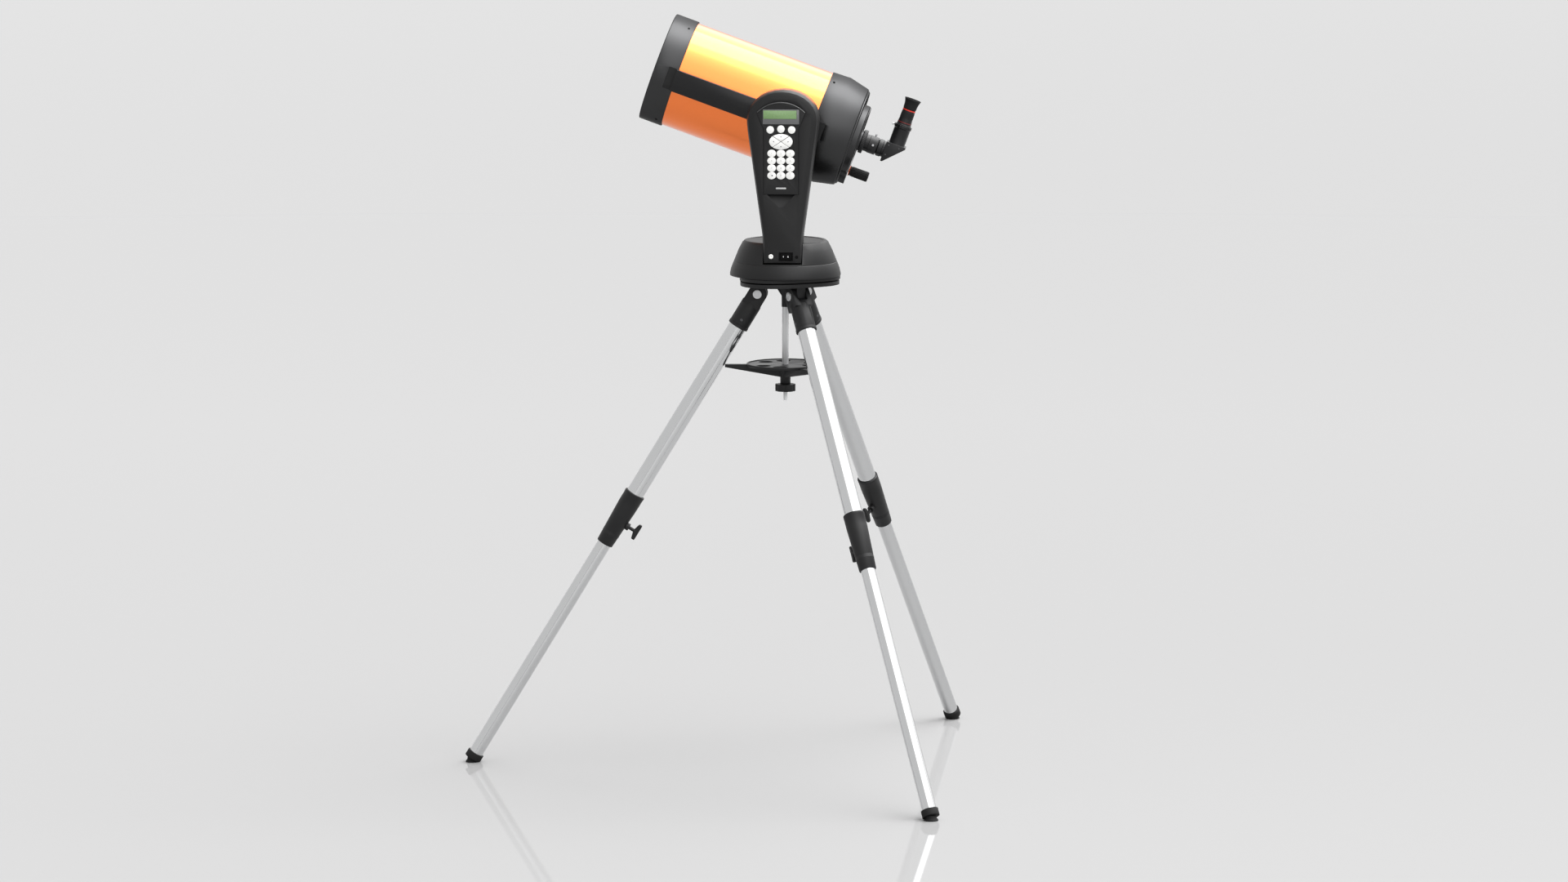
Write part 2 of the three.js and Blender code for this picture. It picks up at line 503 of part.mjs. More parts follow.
function handset() {
  const group = new THREE.Group();
  add(group, "handset_body", handsetBody(), looks.black);
  add(group, "lcd_window", block(HAND.x - WINDOW.half, HAND.x + WINDOW.half, WINDOW.front,
    WINDOW.front + WINDOW.thick, WINDOW.bottom, WINDOW.top), looks.lcd);
  ["left", "middle", "right"].forEach((side, i) => {
    const [x, z] = topKeySpots[i];
    add(group, `menu_key_${side}`, keyCap(oval(x, z, TOP_KEYS.radius, TOP_KEYS.radius)), looks.white);
    add(group, `number_keys_${side}`, numberStrip(numberColumns[i], 0, KEY.front, KEY.back), looks.white);
  });
  for (const [name, angle] of [["right", 0], ["up", 90], ["left", 180], ["down", 270]])
    add(group, `arrow_key_${name}`, arrowKey(angle), looks.white);
  return group;
}

// ---------------------------------------------------------------- optical tube assembly
// Pieces that turn with the tube are drawn about its axis, with +X towards the sky, +Z up and
// +Y towards the fork arm.
const tubeTurned = (points, segments) => alongX(turned(points, segments));
const railRoom = () => block(RAIL.back - RAIL.notch - 4, RAIL.front + RAIL.notch, TUBE.y - RAIL.backY - GAP,
  TUBE.y - RAIL.faceY + 20, -RAIL.half - 0.5 - TUBE.rise, RAIL.half + 0.5 - TUBE.rise);

function frontCell() {
  const { back, front, radius, seat, clear, glass } = FRONT;
  const socket = TUBE.radius + GAP;
  const profile = closed([[socket, back], [radius - 0.6, back], [radius, back + 1], [radius, front - 1.5],
    [radius - 1.5, front], [glass + 3, front], [glass + GAP, front - 3], [glass + GAP, seat],
    [clear, seat], [clear, TUBE.front + GAP], [socket, TUBE.front + GAP]]);
  return cut(solid(tubeTurned(profile, 44)), solid(railRoom()));
}

const correctorPlate = () => alongX(pipe(FRONT.glass, SECONDARY.neck + GAP, FRONT.seat + GAP,
  FRONT.seat + 4.8, 36));

// The secondary mirror's holder grips the corrector plate from both sides.
function secondaryHousing() {
  const { flange, neck, front, back } = SECONDARY;
  const glassBack = FRONT.seat;
  const glassFront = FRONT.seat + 4.8 + GAP;
  return tubeTurned([[0, back], [flange - 6, back], [flange - 2, back + 4], [flange - 2, glassBack],
    [neck, glassBack], [neck, glassFront], [flange, glassFront], [flange, front - 2], [flange - 3, front],
    [0, front]], 24);
}

function rearCell() {
  const { front, shoulder, rim, back, wall } = REAR;
  const socket = TUBE.radius + GAP;
  const inner = REAR_R.shoulder - wall - 2;
  const profile = closed([[socket, front], [REAR_R.front, front], [REAR_R.shoulder, shoulder],
    [REAR_R.rim, rim], [REAR_R.back, back], [REAR_R.hub, back], [REAR_R.hub, HUB.back + 2],
    [REAR_R.hub - 2, HUB.back], [REAR_R.port, HUB.back], [REAR_R.port, HUB.portEnd], [HUB.bore, HUB.portEnd],
    [HUB.bore, back + wall], [REAR_R.rim - wall - 2, rim + wall], [inner, shoulder], [inner, TUBE.back - GAP],
    [socket, TUBE.back - GAP]]);
  const lobe = alongX(disc(FOCUS.lobe, HUB.back, back + 2, 20)).translate(0, -FOCUS.side, -FOCUS.drop);
  const bore = alongX(disc(4.4, HUB.back - 5, back + 20, 12)).translate(0, -FOCUS.side, -FOCUS.drop);
  return cut(join(solid(tubeTurned(profile, 44)), solid(lobe)), solid(bore), solid(railRoom()));
}

function dovetailRail() {
  const outerY = TUBE.y - RAIL.faceY;
  const innerY = TUBE.y - RAIL.backY;
  const { half } = RAIL;
  const chamfer = 0.8;
  const profile = outline([[innerY, -half], [outerY - chamfer, -half], [outerY, -half + chamfer],
    [outerY, half - chamfer], [outerY - chamfer, half], [innerY, half]]);
  const bar = slab(profile, RAIL.back, RAIL.front);
  // the outline's x is the tube frame's +Y and its y is +Z
  const turn = new THREE.Matrix4().makeBasis(new THREE.Vector3(0, 1, 0), new THREE.Vector3(0, 0, 1),
    new THREE.Vector3(1, 0, 0));
  return bar.applyMatrix4(turn).translate(0, 0, -TUBE.rise);
}

// Disc and shaft on the altitude axis with a two-jawed clamp that holds the rail.
function altitudeHub() {
  const y = (worldY) => TUBE.y - worldY;
  const plateY = y(SADDLE.plate);
  const disk = alongY(turned([[0, 66], [15, 66], [15, -SADDLE.front], [SADDLE.disc, -SADDLE.front],
    [SADDLE.disc, -SADDLE.plate], [0, -SADDLE.plate]], 32));
  const hub = solid(disk.translate(0, TUBE.y, 0));
  const outer = RAIL.half + 0.5 + SADDLE.jaw;
  const bed = solid(block(-SADDLE.half, SADDLE.half, y(SADDLE.floor), plateY + 1, -outer, outer));
  const jaws = [-1, 1].map((side) => {
    const [z0, z1] = [side * (RAIL.half + 0.5), side * outer].sort((a, b) => a - b);
    return solid(block(-SADDLE.half, SADDLE.half, y(SADDLE.lip), plateY, z0, z1));
  });
  const screw = solid(disc(4.4, -outer - 5, -RAIL.half, 12).translate(0, y(-13), 0));
  return geometryOf(cut(join(hub, bed, ...jaws), screw)).translate(0, 0, -TUBE.rise);
}

function saddleKnob() {
  const top = -RAIL.half - 1;
  const outer = -(RAIL.half + 0.5 + SADDLE.jaw);
  const profile = [[0, top], [4, top], [4, outer - 1], [10, outer - 1], [14, outer - 6], [14, outer - 22],
    [12, outer - 24], [0, outer - 24]];
  return turned(profile, 20).translate(0, TUBE.y + 13, -TUBE.rise);
}

function focusKnob() {
  const { front, back, radius, ring } = FOCUS;
  const profile = [[0, front + 14], [4, front + 14], [4, front], [ring, front], [ring, front - 3],
    [radius, front - 3], [radius + 0.4, back + 2], [radius - 1.6, back], [0, back]];
  return tubeTurned(profile, 20).translate(0, -FOCUS.side, -FOCUS.drop);
}

function primaryMirror() {
  const { radius, hole, front, back } = MIRROR;
  return tubeTurned(closed([[hole, back - 6], [hole + 14, back - 6], [hole + 14, back], [radius - 22, back],
    [radius, back + 10], [radius, front], [radius * 0.6, front - 4], [hole, front - 6.5]]), 28);
}

const baffleTube = () => tubeTurned(closed([[BAFFLE.radius - BAFFLE.wall, BAFFLE.back],
  [BAFFLE.radius, BAFFLE.back], [BAFFLE.radius, BAFFLE.front], [BAFFLE.radius - BAFFLE.wall, BAFFLE.front]]), 24);

const slipRing = () => tubeTurned(closed([[REAR_R.port + GAP, SLIP.front], [SLIP.radius, SLIP.front],
  [SLIP.radius, SLIP.back], [VISUAL.radius + 0.4, SLIP.back], [VISUAL.radius + 0.4, SLIP.lip],
  [REAR_R.port + GAP, SLIP.lip]]), 24);

const visualBack = () => tubeTurned(closed([[14, VISUAL.front], [VISUAL.flange, VISUAL.front],
  [VISUAL.flange, VISUAL.step], [VISUAL.radius, VISUAL.step], [VISUAL.radius, VISUAL.back],
  [VISUAL.bore, VISUAL.back], [VISUAL.bore, VISUAL.front - 8], [14, VISUAL.front - 8]]), 24);

// Star diagonal: a nose in the visual back, a prism housing and a holder tube turned up by 90 degrees.
function starDiagonal() {
  const { nose, noseFront, body, corner, low, high } = DIAGONAL;
  const stem = tubeTurned([[0, noseFront], [nose, noseFront], [nose, VISUAL.back - 1], [nose + 1.6, VISUAL.back - 1],
    [nose + 1.6, body - 1], [0, body - 1]], 20);
  const house = plate(outline([[body, low], [body, high], [corner, high], [corner, high - 4],
    [body - 4, low]]), -19, 19);
  const tube = turned([[0, high - 3], [HOLDER.radius, high - 3], [HOLDER.radius, HOLDER.lipZ],
    [HOLDER.lip, HOLDER.lipZ], [HOLDER.lip, HOLDER.top], [0, HOLDER.top]], 20);
  const bore = disc(HOLDER.bore, HOLDER.floor, HOLDER.top + 5, 20);
  const whole = join(solid(stem), solid(house), solid(tube.translate(HOLDER.at, 0, 0)));
  return cut(whole, solid(bore.translate(HOLDER.at, 0, 0)));
}

function eyepiece() {
  const { barrel, bottom, shoulder, top } = EYEPIECE;
  return turned([[0, bottom], [barrel, bottom], [barrel, shoulder], [barrel + 0.6, shoulder],
    [barrel + 0.6, shoulder + 14], [13.6, shoulder + 18], [13.6, shoulder + 36], [11, shoulder + 36],
    [11, top], [0, top]], 20).translate(HOLDER.at, 0, 0);
}

function eyecup() {
  const bottom = EYEPIECE.shoulder + 36 + GAP;
  return turned(closed([[11.4, bottom], [14, bottom], [14.4, bottom + 6], [16.8, bottom + 18.6],
    [15, bottom + 18.6], [11.4, bottom + 7]]), 20).translate(HOLDER.at, 0, 0);
}

function opticalTube() {
  const pitch = new THREE.Group();
  pitch.position.z = PIVOT_Z;
  pitch.rotation.set(0, radians(ALTITUDE), Math.PI);
  const tube = new THREE.Group();
  tube.position.set(0, -TUBE.y, TUBE.rise);
  pitch.add(tube);
  add(tube, "optical_tube", alongX(pipe(TUBE.radius, TUBE.radius - TUBE.wall, TUBE.back, TUBE.front, 48)),
    looks.orange);
  add(tube, "front_cell", frontCell(), looks.black);
  add(tube, "corrector_plate", correctorPlate(), looks.glass);
  add(tube, "secondary_housing", secondaryHousing(), looks.black);
  add(tube, "primary_mirror", primaryMirror(), looks.mirror);
  add(tube, "baffle_tube", baffleTube(), looks.black);
  add(tube, "rear_cell", rearCell(), looks.black);
  add(tube, "dovetail_rail", dovetailRail(), looks.black);
  add(tube, "altitude_hub", altitudeHub(), looks.black);
  add(tube, "saddle_knob", saddleKnob(), looks.black);
  add(tube, "focus_knob", focusKnob(), looks.rubber);
  add(tube, "slip_ring", slipRing(), looks.black);
  add(tube, "visual_back", visualBack(), looks.black);
  add(tube, "star_diagonal", starDiagonal(), looks.black);
  add(tube, "eyepiece", eyepiece(), looks.black);
  add(tube, "eyecup", eyecup(), looks.rubber);
  return pitch;
}

const telescope = new THREE.Group();
telescope.position.set(AXIS_X, 0, -FLOOR);
telescope.add(tripod(), fork(), handset(), opticalTube());
export default telescope;
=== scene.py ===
"""Looks for the Schmidt-Cassegrain telescope: materials, detailed pieces, floor, light and camera."""

import json
import math

import bmesh
import bpy
from mathutils import Matrix, Vector


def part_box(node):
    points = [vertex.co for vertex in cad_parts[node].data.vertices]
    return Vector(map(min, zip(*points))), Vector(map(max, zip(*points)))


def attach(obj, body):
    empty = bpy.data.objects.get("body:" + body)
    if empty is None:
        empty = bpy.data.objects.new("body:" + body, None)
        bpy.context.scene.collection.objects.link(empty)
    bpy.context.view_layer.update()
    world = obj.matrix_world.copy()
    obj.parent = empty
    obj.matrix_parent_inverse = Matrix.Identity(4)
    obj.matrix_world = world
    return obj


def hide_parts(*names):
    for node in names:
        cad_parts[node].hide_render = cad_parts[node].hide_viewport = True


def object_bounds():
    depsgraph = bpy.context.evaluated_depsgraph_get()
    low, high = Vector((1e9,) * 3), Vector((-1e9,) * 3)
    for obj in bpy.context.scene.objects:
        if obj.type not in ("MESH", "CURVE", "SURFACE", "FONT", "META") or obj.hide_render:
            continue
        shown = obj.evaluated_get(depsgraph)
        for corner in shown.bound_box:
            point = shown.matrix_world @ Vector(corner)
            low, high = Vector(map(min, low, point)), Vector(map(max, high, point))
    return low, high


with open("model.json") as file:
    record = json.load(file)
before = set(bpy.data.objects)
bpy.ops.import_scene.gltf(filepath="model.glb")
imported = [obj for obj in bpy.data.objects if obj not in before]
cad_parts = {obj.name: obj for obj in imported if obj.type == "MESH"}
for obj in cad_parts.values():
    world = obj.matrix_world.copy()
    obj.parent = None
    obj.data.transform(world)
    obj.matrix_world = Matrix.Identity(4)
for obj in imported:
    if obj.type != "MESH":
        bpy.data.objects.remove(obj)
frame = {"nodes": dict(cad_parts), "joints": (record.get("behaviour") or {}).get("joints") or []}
CAD_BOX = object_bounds()
NODES = frame["nodes"]
JOINTS = {joint["name"]: joint for joint in frame["joints"]}
MM = 0.001
TAU = 2 * math.pi

scene = bpy.context.scene
scene.view_settings.view_transform = "Standard"

# ---------------------------------------------------------------- camera
# Azimuth and pitch in degrees, distance and height in metres from the foot of the azimuth axis.
CAMERA = {"azimuth": 3.7, "pitch": 7.84, "distance": 13.27, "height": 2.5245, "side": -0.0029, "lens": 145.35}
AXIS_X = (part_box("center_rod")[0].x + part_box("center_rod")[1].x) / 2


def add_camera():
    turn, pitch = math.radians(CAMERA["azimuth"]), math.radians(CAMERA["pitch"])
    data = bpy.data.cameras.new("camera")
    data.lens = CAMERA["lens"]
    data.sensor_width = 36
    data.clip_end = 400
    camera = bpy.data.objects.new("camera", data)
    right = Vector((math.cos(turn), math.sin(turn), 0))
    away = Vector((-math.sin(turn), math.cos(turn), 0))
    camera.location = (Vector((AXIS_X, 0, CAMERA["height"])) + right * CAMERA["side"]
                       - away * CAMERA["distance"])
    look = away * math.cos(pitch) + Vector((0, 0, -math.sin(pitch)))
    camera.rotation_mode = "QUATERNION"
    camera.rotation_quaternion = look.to_track_quat("-Z", "Y")
    scene.collection.objects.link(camera)
    scene.camera = camera


add_camera()


# ---------------------------------------------------------------- materials
COAT_ROUGHNESS = 0.05


def principled(name):
    """A new node material and its main shader."""
    material = bpy.data.materials.new(name)
    material.use_nodes = True
    return material, material.node_tree.nodes["Principled BSDF"]


def grey(level):
    return (level, level, level, 1)


def finish(name, color, rough, metallic=0.0, specular=0.5, vary=0.12, patch=9.0, grain=900.0,
           bump=0.05, grain_size=0.0003, stretch=(1, 1, 1), coat=0.0, edge=1.0):
    """A procedural finish: soft colour patches, gloss between the two rough values and a fine grain."""
    material, shader = principled(name)
    tree = material.node_tree
    new, link = tree.nodes.new, tree.links.new
    where = new("ShaderNodeTexCoord")
    scale = new("ShaderNodeMapping")
    scale.inputs["Scale"].default_value = stretch
    link(where.outputs["Object"], scale.inputs["Vector"])
    blotch = new("ShaderNodeTexNoise")
    blotch.inputs["Scale"].default_value = patch
    blotch.inputs["Detail"].default_value = 4
    link(scale.outputs["Vector"], blotch.inputs["Vector"])
    tint = new("ShaderNodeMix")
    tint.data_type = "RGBA"
    tint.inputs["A"].default_value = (*[c * (1 - vary) for c in color], 1)
    tint.inputs["B"].default_value = (*[min(1, c * (1 + vary)) for c in color], 1)
    link(blotch.outputs["Fac"], tint.inputs["Factor"])
    link(tint.outputs["Result"], shader.inputs["Base Color"])
    grit = new("ShaderNodeTexNoise")
    grit.inputs["Scale"].default_value = grain
    grit.inputs["Detail"].default_value = 3
    link(scale.outputs["Vector"], grit.inputs["Vector"])
    gloss = new("ShaderNodeMapRange")
    gloss.inputs["To Min"].default_value = rough[0]
    gloss.inputs["To Max"].default_value = rough[1]
    link(blotch.outputs["Fac"], gloss.inputs["Value"])
    link(gloss.outputs["Result"], shader.inputs["Roughness"])
    relief = new("ShaderNodeBump")
    relief.inputs["Strength"].default_value = bump
    relief.inputs["Distance"].default_value = grain_size
    link(grit.outputs["Fac"], relief.inputs["Height"])
    link(relief.outputs["Normal"], shader.inputs["Normal"])
    shader.inputs["Metallic"].default_value = metallic
    shader.inputs["Specular IOR Level"].default_value = specular
    shader.inputs["Specular Tint"].default_value = grey(edge)
    shader.inputs["Coat Weight"].default_value = coat
    shader.inputs["Coat Roughness"].default_value = COAT_ROUGHNESS
    return material


def clear_glass():
    material, shader = principled("coated_glass")
    tree = material.node_tree
    noise = tree.nodes.new("ShaderNodeTexNoise")
    noise.inputs["Scale"].default_value = 30
    gloss = tree.nodes.new("ShaderNodeMapRange")
    gloss.inputs["To Min"].default_value = 0.01
    gloss.inputs["To Max"].default_value = 0.03
    tree.links.new(noise.outputs["Fac"], gloss.inputs["Value"])
    tree.links.new(gloss.outputs["Result"], shader.inputs["Roughness"])
    shader.inputs["Base Color"].default_value = (0.9, 0.98, 0.95, 1)
    shader.inputs["Transmission Weight"].default_value = 1.0
    shader.inputs["IOR"].default_value = 1.1
    return material


LOOKS = {
    "orange": finish("orange_paint", (1.0, 0.235, 0.057), (0.14, 0.19), metallic=0.92, vary=0.03, patch=5,
                     grain=1600, bump=0.02, grain_size=0.0002, coat=0.25),
    "cell": finish("satin_black_cell", (0.052, 0.0522, 0.0532), (0.30, 0.38), metallic=1.0, vary=0.08,
                   bump=0.10, edge=0.5),
    "cast": finish("black_powder_coat", (0.0095, 0.0095, 0.010), (0.42, 0.55), specular=0.3, vary=0.25,
                   grain=1500, bump=0.25, grain_size=0.0002),
    "plastic": finish("black_moulding", (0.0095, 0.0095, 0.0098), (0.36, 0.48), specular=0.26, vary=0.2,
                      grain=2200, bump=0.2, grain_size=0.00015),
    "gloss": finish("black_gloss", (0.006, 0.006, 0.0065), (0.16, 0.24), specular=0.3, vary=0.2, bump=0.03),
    "matt": finish("matt_black", (0.0025, 0.0025, 0.0026), (0.7, 0.85), specular=0.12, vary=0.2, bump=0.1),
    "anodised": finish("black_anodised", (0.010, 0.010, 0.0108), (0.26, 0.36), specular=0.3, vary=0.2,
                       grain=1200, bump=0.08, stretch=(1, 1, 6)),
    "rubber": finish("black_rubber", (0.007, 0.007, 0.007), (0.62, 0.78), specular=0.25, vary=0.3,
                     grain=1800, bump=0.3, grain_size=0.0003),
    "steel": finish("polished_steel", (0.63, 0.635, 0.64), (0.10, 0.16), metallic=1.0, vary=0.04, patch=14,
                    grain=500, bump=0.015, stretch=(1, 1, 0.06)),
    "screw": finish("zinc_screw", (0.55, 0.55, 0.56), (0.25, 0.4), metallic=1.0, vary=0.1),
    "zinc": finish("zinc_plate", (0.68, 0.685, 0.69), (0.36, 0.46), metallic=0.4, vary=0.04, bump=0.03),
    "white": finish("white_keys", (0.82, 0.82, 0.80), (0.4, 0.5), vary=0.02, grain=2500, bump=0.08),
    "panel": finish("grey_panel", (0.12, 0.122, 0.125), (0.3, 0.4), vary=0.06, bump=0.05),
    # lighter grey for the ridge of the window arch: a painted highlight along the ridge
    "edge": finish("ridge_painted_highlight", (0.05, 0.05, 0.051), (0.35, 0.45), specular=0.5, vary=0.1, bump=0.05),
    "lcd": finish("green_lcd", (0.15, 0.26, 0.10), (0.25, 0.3), vary=0.06, patch=40, bump=0.02, coat=0.3),
    "ink": finish("dark_print", (0.05, 0.05, 0.055), (0.5, 0.6), vary=0.1),
    "print": finish("grey_print", (0.42, 0.42, 0.42), (0.45, 0.55), vary=0.08),
    "red": finish("red_band", (0.62, 0.03, 0.015), (0.3, 0.4), vary=0.08),
    "dull_red": finish("dull_red_band", (0.13, 0.012, 0.01), (0.35, 0.45), vary=0.08),
    "amber": finish("amber_band", (0.55, 0.10, 0.025), (0.3, 0.4), vary=0.08),
    "mirror": finish("aluminised_mirror", (0.9, 0.9, 0.91), (0.02, 0.05), metallic=1.0, vary=0.02, bump=0.0),
    "brass": finish("brass_gear", (0.6, 0.42, 0.17), (0.25, 0.4), metallic=1.0, vary=0.1),
    "glass": clear_glass(),
}

LEGS = (1, 2, 3)
PAINT = {  # looks of the CAD nodes that stay visible
    "cell": ["front_cell", "rear_cell"],
    "glass": ["corrector_plate"],
    "gloss": ["secondary_housing", "dovetail_rail"],
    "mirror": ["primary_mirror"],
    "anodised": ["baffle_tube", "star_diagonal"],
    "rubber": [f"rubber_foot_{number}" for number in LEGS],
    "cast": ["altitude_hub", "drive_base", "tripod_head"] + [f"leg_yoke_{number}" for number in LEGS],
    "plastic": ["turntable", "arm_shell", "arm_cover", "handset_body", "accessory_tray", "tray_knob"],
    "matt": ["power_switch"],
    "brass": ["azimuth_gear"],
    "panel": ["lcd_window"],
}
SOFT_EDGES = {  # rounding of the sharp edges of CAD nodes, in millimetres
    "front_cell": 0.8, "rear_cell": 0.9, "arm_shell": 0.8, "turntable": 0.8, "handset_body": 0.5,
    "drive_base": 0.6, "accessory_tray": 0.7, "tray_knob": 0.9, "altitude_hub": 1.0, "dovetail_rail": 0.5,
    "arm_cover": 0.5, "power_switch": 0.3, "lcd_window": 0.25, "tripod_head": 0.8, "star_diagonal": 0.5,
}
for foot in LEGS:
    SOFT_EDGES.update({f"leg_yoke_{foot}": 1.0, f"rubber_foot_{foot}": 0.9})
SMOOTH_BELOW = 32  # degrees between two faces that still shade as one surface
SOFTEN_ABOVE = 38  # degrees from which an edge of a CAD node is rounded
WELD_DISTANCE = 2e-6


def smooth(obj, degrees=SMOOTH_BELOW):
    """Smooth shading with the edges over that angle kept sharp."""
    mesh = obj.data
    mesh.shade_smooth()
    mesh.set_sharp_from_angle(angle=math.radians(degrees))


def dress_frame():
    """Gives each CAD node its finish, welded smooth shading and softened edges."""
    for look, names in PAINT.items():
        for name in names:
            obj = NODES[name]
            obj.data.materials.clear()
            obj.data.materials.append(LOOKS[look])
    for name, obj in NODES.items():
        if "custom_normal" in obj.data.attributes:
            obj.data.attributes.remove(obj.data.attributes["custom_normal"])
        weld = obj.modifiers.new("weld", "WELD")
        weld.merge_threshold = WELD_DISTANCE
        if name in SOFT_EDGES:
            bevel = obj.modifiers.new("soft_edges", "BEVEL")
            bevel.width = SOFT_EDGES[name] * MM
            bevel.segments = 2
            bevel.limit_method = "ANGLE"
            bevel.angle_limit = math.radians(SOFTEN_ABOVE)
            bevel.harden_normals = False
        smooth(obj)


dress_frame()


# ---------------------------------------------------------------- mesh helpers
def frame_matrix(origin, x, y, z):
    """A local frame in millimetres at origin, in metres, with the given axes."""
    matrix = Matrix.Identity(4)
    for column, axis in enumerate((x, y, z)):
        for row in range(3):
            matrix[row][column] = axis[row] * MM
    for row in range(3):
        matrix[row][3] = origin[row]
    return matrix


def piece(name, vertices, faces, matrix, body, look, sharp=SMOOTH_BELOW):
    """A new mesh piece from local vertices, riding on a body."""
    mesh = bpy.data.meshes.new(name)
    mesh.from_pydata([matrix @ Vector(v) for v in vertices], [], faces)
    work = bmesh.new()
    work.from_mesh(mesh)
    bmesh.ops.remove_doubles(work, verts=work.verts, dist=1e-7)
    bmesh.ops.recalc_face_normals(work, faces=work.faces)
    work.to_mesh(mesh)
    work.free()
    obj = bpy.data.objects.new(name, mesh)
    scene.collection.objects.link(obj)
    mesh.materials.append(LOOKS[look])
    smooth(obj, sharp)
    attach(obj, body)
    return obj


def lathe(profile, segments=64, ribs=0, depth=0.0, ribbed=()):
    """Vertices and faces of (radius, height) points turned about Z; ribbed rows get shallow flutes."""
    vertices, faces = [], []
    for row, (radius, height) in enumerate(profile):
        for step in range(segments):
            angle = TAU * step / segments
            r = radius
            if ribs and row in ribbed:
                r -= depth * (0.5 - 0.5 * math.cos(angle * ribs)) ** 2
            vertices.append((r * math.cos(angle), r * math.sin(angle), height))
    for row in range(len(profile) - 1):
        for step in range(segments):
            after = (step + 1) % segments
            a, b = row * segments + step, row * segments + after
            c, d = a + segments, b + segments
            faces.append((a, b, d, c))
    for row, order in ((0, -1), (len(profile) - 1, 1)):
        if profile[row][0] > 1e-6 and profile[0] != profile[-1]:
            loop = [row * segments + step for step in range(segments)]
            faces.append(tuple(loop[::order]))
    return vertices, faces


def band_profile(inner, outer, low, high):
    """The closed profile of a plain ring, for lathe."""
    return [(inner, low), (outer, low), (outer, high), (inner, high), (inner, low)]


def pillow(outline, back, front, edge):
    """A rounded plate over an x-z outline: flat back, crowned front at the smaller y."""
    steps = [(0.0, back), (0.0, front + edge), (0.3 * edge, front + 0.3 * edge), (edge, front)]
    count = len(outline)
    normals = []
    for i, (x, z) in enumerate(outline):
        (x0, z0), (x1, z1) = outline[i - 1], outline[(i + 1) % count]
        run = Vector((x1 - x0, z1 - z0)).normalized()
        normals.append((-run.y, run.x))
    vertices, faces = [], []
    for inset, y in steps:
        vertices += [(x + n[0] * inset, y, z + n[1] * inset) for (x, z), n in zip(outline, normals)]
    for level in range(len(steps) - 1):
        for i in range(count):
            after = (i + 1) % count
            faces.append((level * count + i, level * count + after,
                          (level + 1) * count + after, (level + 1) * count + i))
    faces.append(tuple(range(count)))
    faces.append(tuple(range(len(steps) * count - 1, (len(steps) - 1) * count - 1, -1)))
    return vertices, faces


def ring_points(x, z, half_x, half_z, count):
    """Points of an upright ellipse about (x, z)."""
    return [(x + half_x * math.cos(TAU * i / count), z + half_z * math.sin(TAU * i / count))
            for i in range(count)]


def joined(*parts):
    """Several (vertices, faces) pairs as one."""
    vertices, faces = [], []
    for more_vertices, more_faces in parts:
        offset = len(vertices)
        vertices += more_vertices
        faces += [tuple(i + offset for i in face) for face in more_faces]
    return vertices, faces


def moved(part, matrix):
    """A (vertices, faces) pair with its vertices moved."""
    return [tuple(matrix @ Vector(v)) for v in part[0]], part[1]


def turned_to(axis):
    """Rotation that takes local +Z to the axis."""
    return Vector((0, 0, 1)).rotation_difference(Vector(axis)).to_matrix().to_4x4()


WORLD_MM = frame_matrix((AXIS_X, 0, 0), (1, 0, 0), (0, 1, 0), (0, 0, 1))


# ---------------------------------------------------------------- optical tube
ALONG = Vector(JOINTS["mirror_slide"]["axis"]).normalized()
UP = Vector(JOINTS["eyepiece_slide"]["axis"]).normalized()
PIVOT = Vector(JOINTS["altitude"]["pos_m"])
ON_AXIS = Vector(JOINTS["diagonal_turn"]["pos_m"])
TUBE_ORIGIN = ON_AXIS - ALONG * (ON_AXIS - PIVOT).dot(ALONG)
TUBE = frame_matrix(TUBE_ORIGIN, ALONG, Vector((0, -1, 0)), UP)
SPIN = Matrix.Rotation(math.pi / 2, 4, "Y")  # local +Z to the tube's axis
HOLDER_AT = -235  # where the eyepiece's axis stands along the tube, in millimetres


def along_tube(name, profile, body, look, segments=64, shift=(0, 0, 0), **ribs):
    """A turned piece about the tube's axis, or a parallel one; heights are distances along the tube."""
    part = lathe(profile, segments, **ribs)
    return piece(name, *moved(part, Matrix.Translation(shift) @ SPIN), TUBE, body, look)


def local_range(node, axis):
    """Lowest and highest reach of a CAD node along one axis of the tube's frame, in millimetres."""
    inverse = TUBE.inverted()
    reach = [(inverse @ v.co)[axis] for v in NODES[node].data.vertices]
    return min(reach), max(reach)


def screw(name, at, outward, body, radius=2.4, look="screw", matrix=TUBE):
    """A small pan-head screw standing on a surface."""
    head = lathe([(radius, 0), (radius, 0.5), (radius * 0.8, 1.1), (radius * 0.35, 1.35), (0, 1.35)], 20)
    return piece(name, *moved(head, Matrix.Translation(at) @ turned_to(outward)), matrix, body, look)


def thumb_screw(name, at, outward, length, body):
    """A small thumb screw: a thin stem and a knurled bright head."""
    place = Matrix.Translation(at) @ turned_to(outward)
    stem = lathe([(1.1, -1), (1.1, length * 0.62), (0, length * 0.62)], 20)
    piece(name, *moved(stem, place), TUBE, body, "gloss")
    head = lathe([(1.1, length * 0.6), (2.3, length * 0.6), (2.5, length * 0.68), (2.5, length * 0.92),
                  (2.1, length), (0, length)], 40, ribs=14, depth=0.35, ribbed=(2, 3))
    piece(name + "_head", *moved(head, place), TUBE, body, "screw")


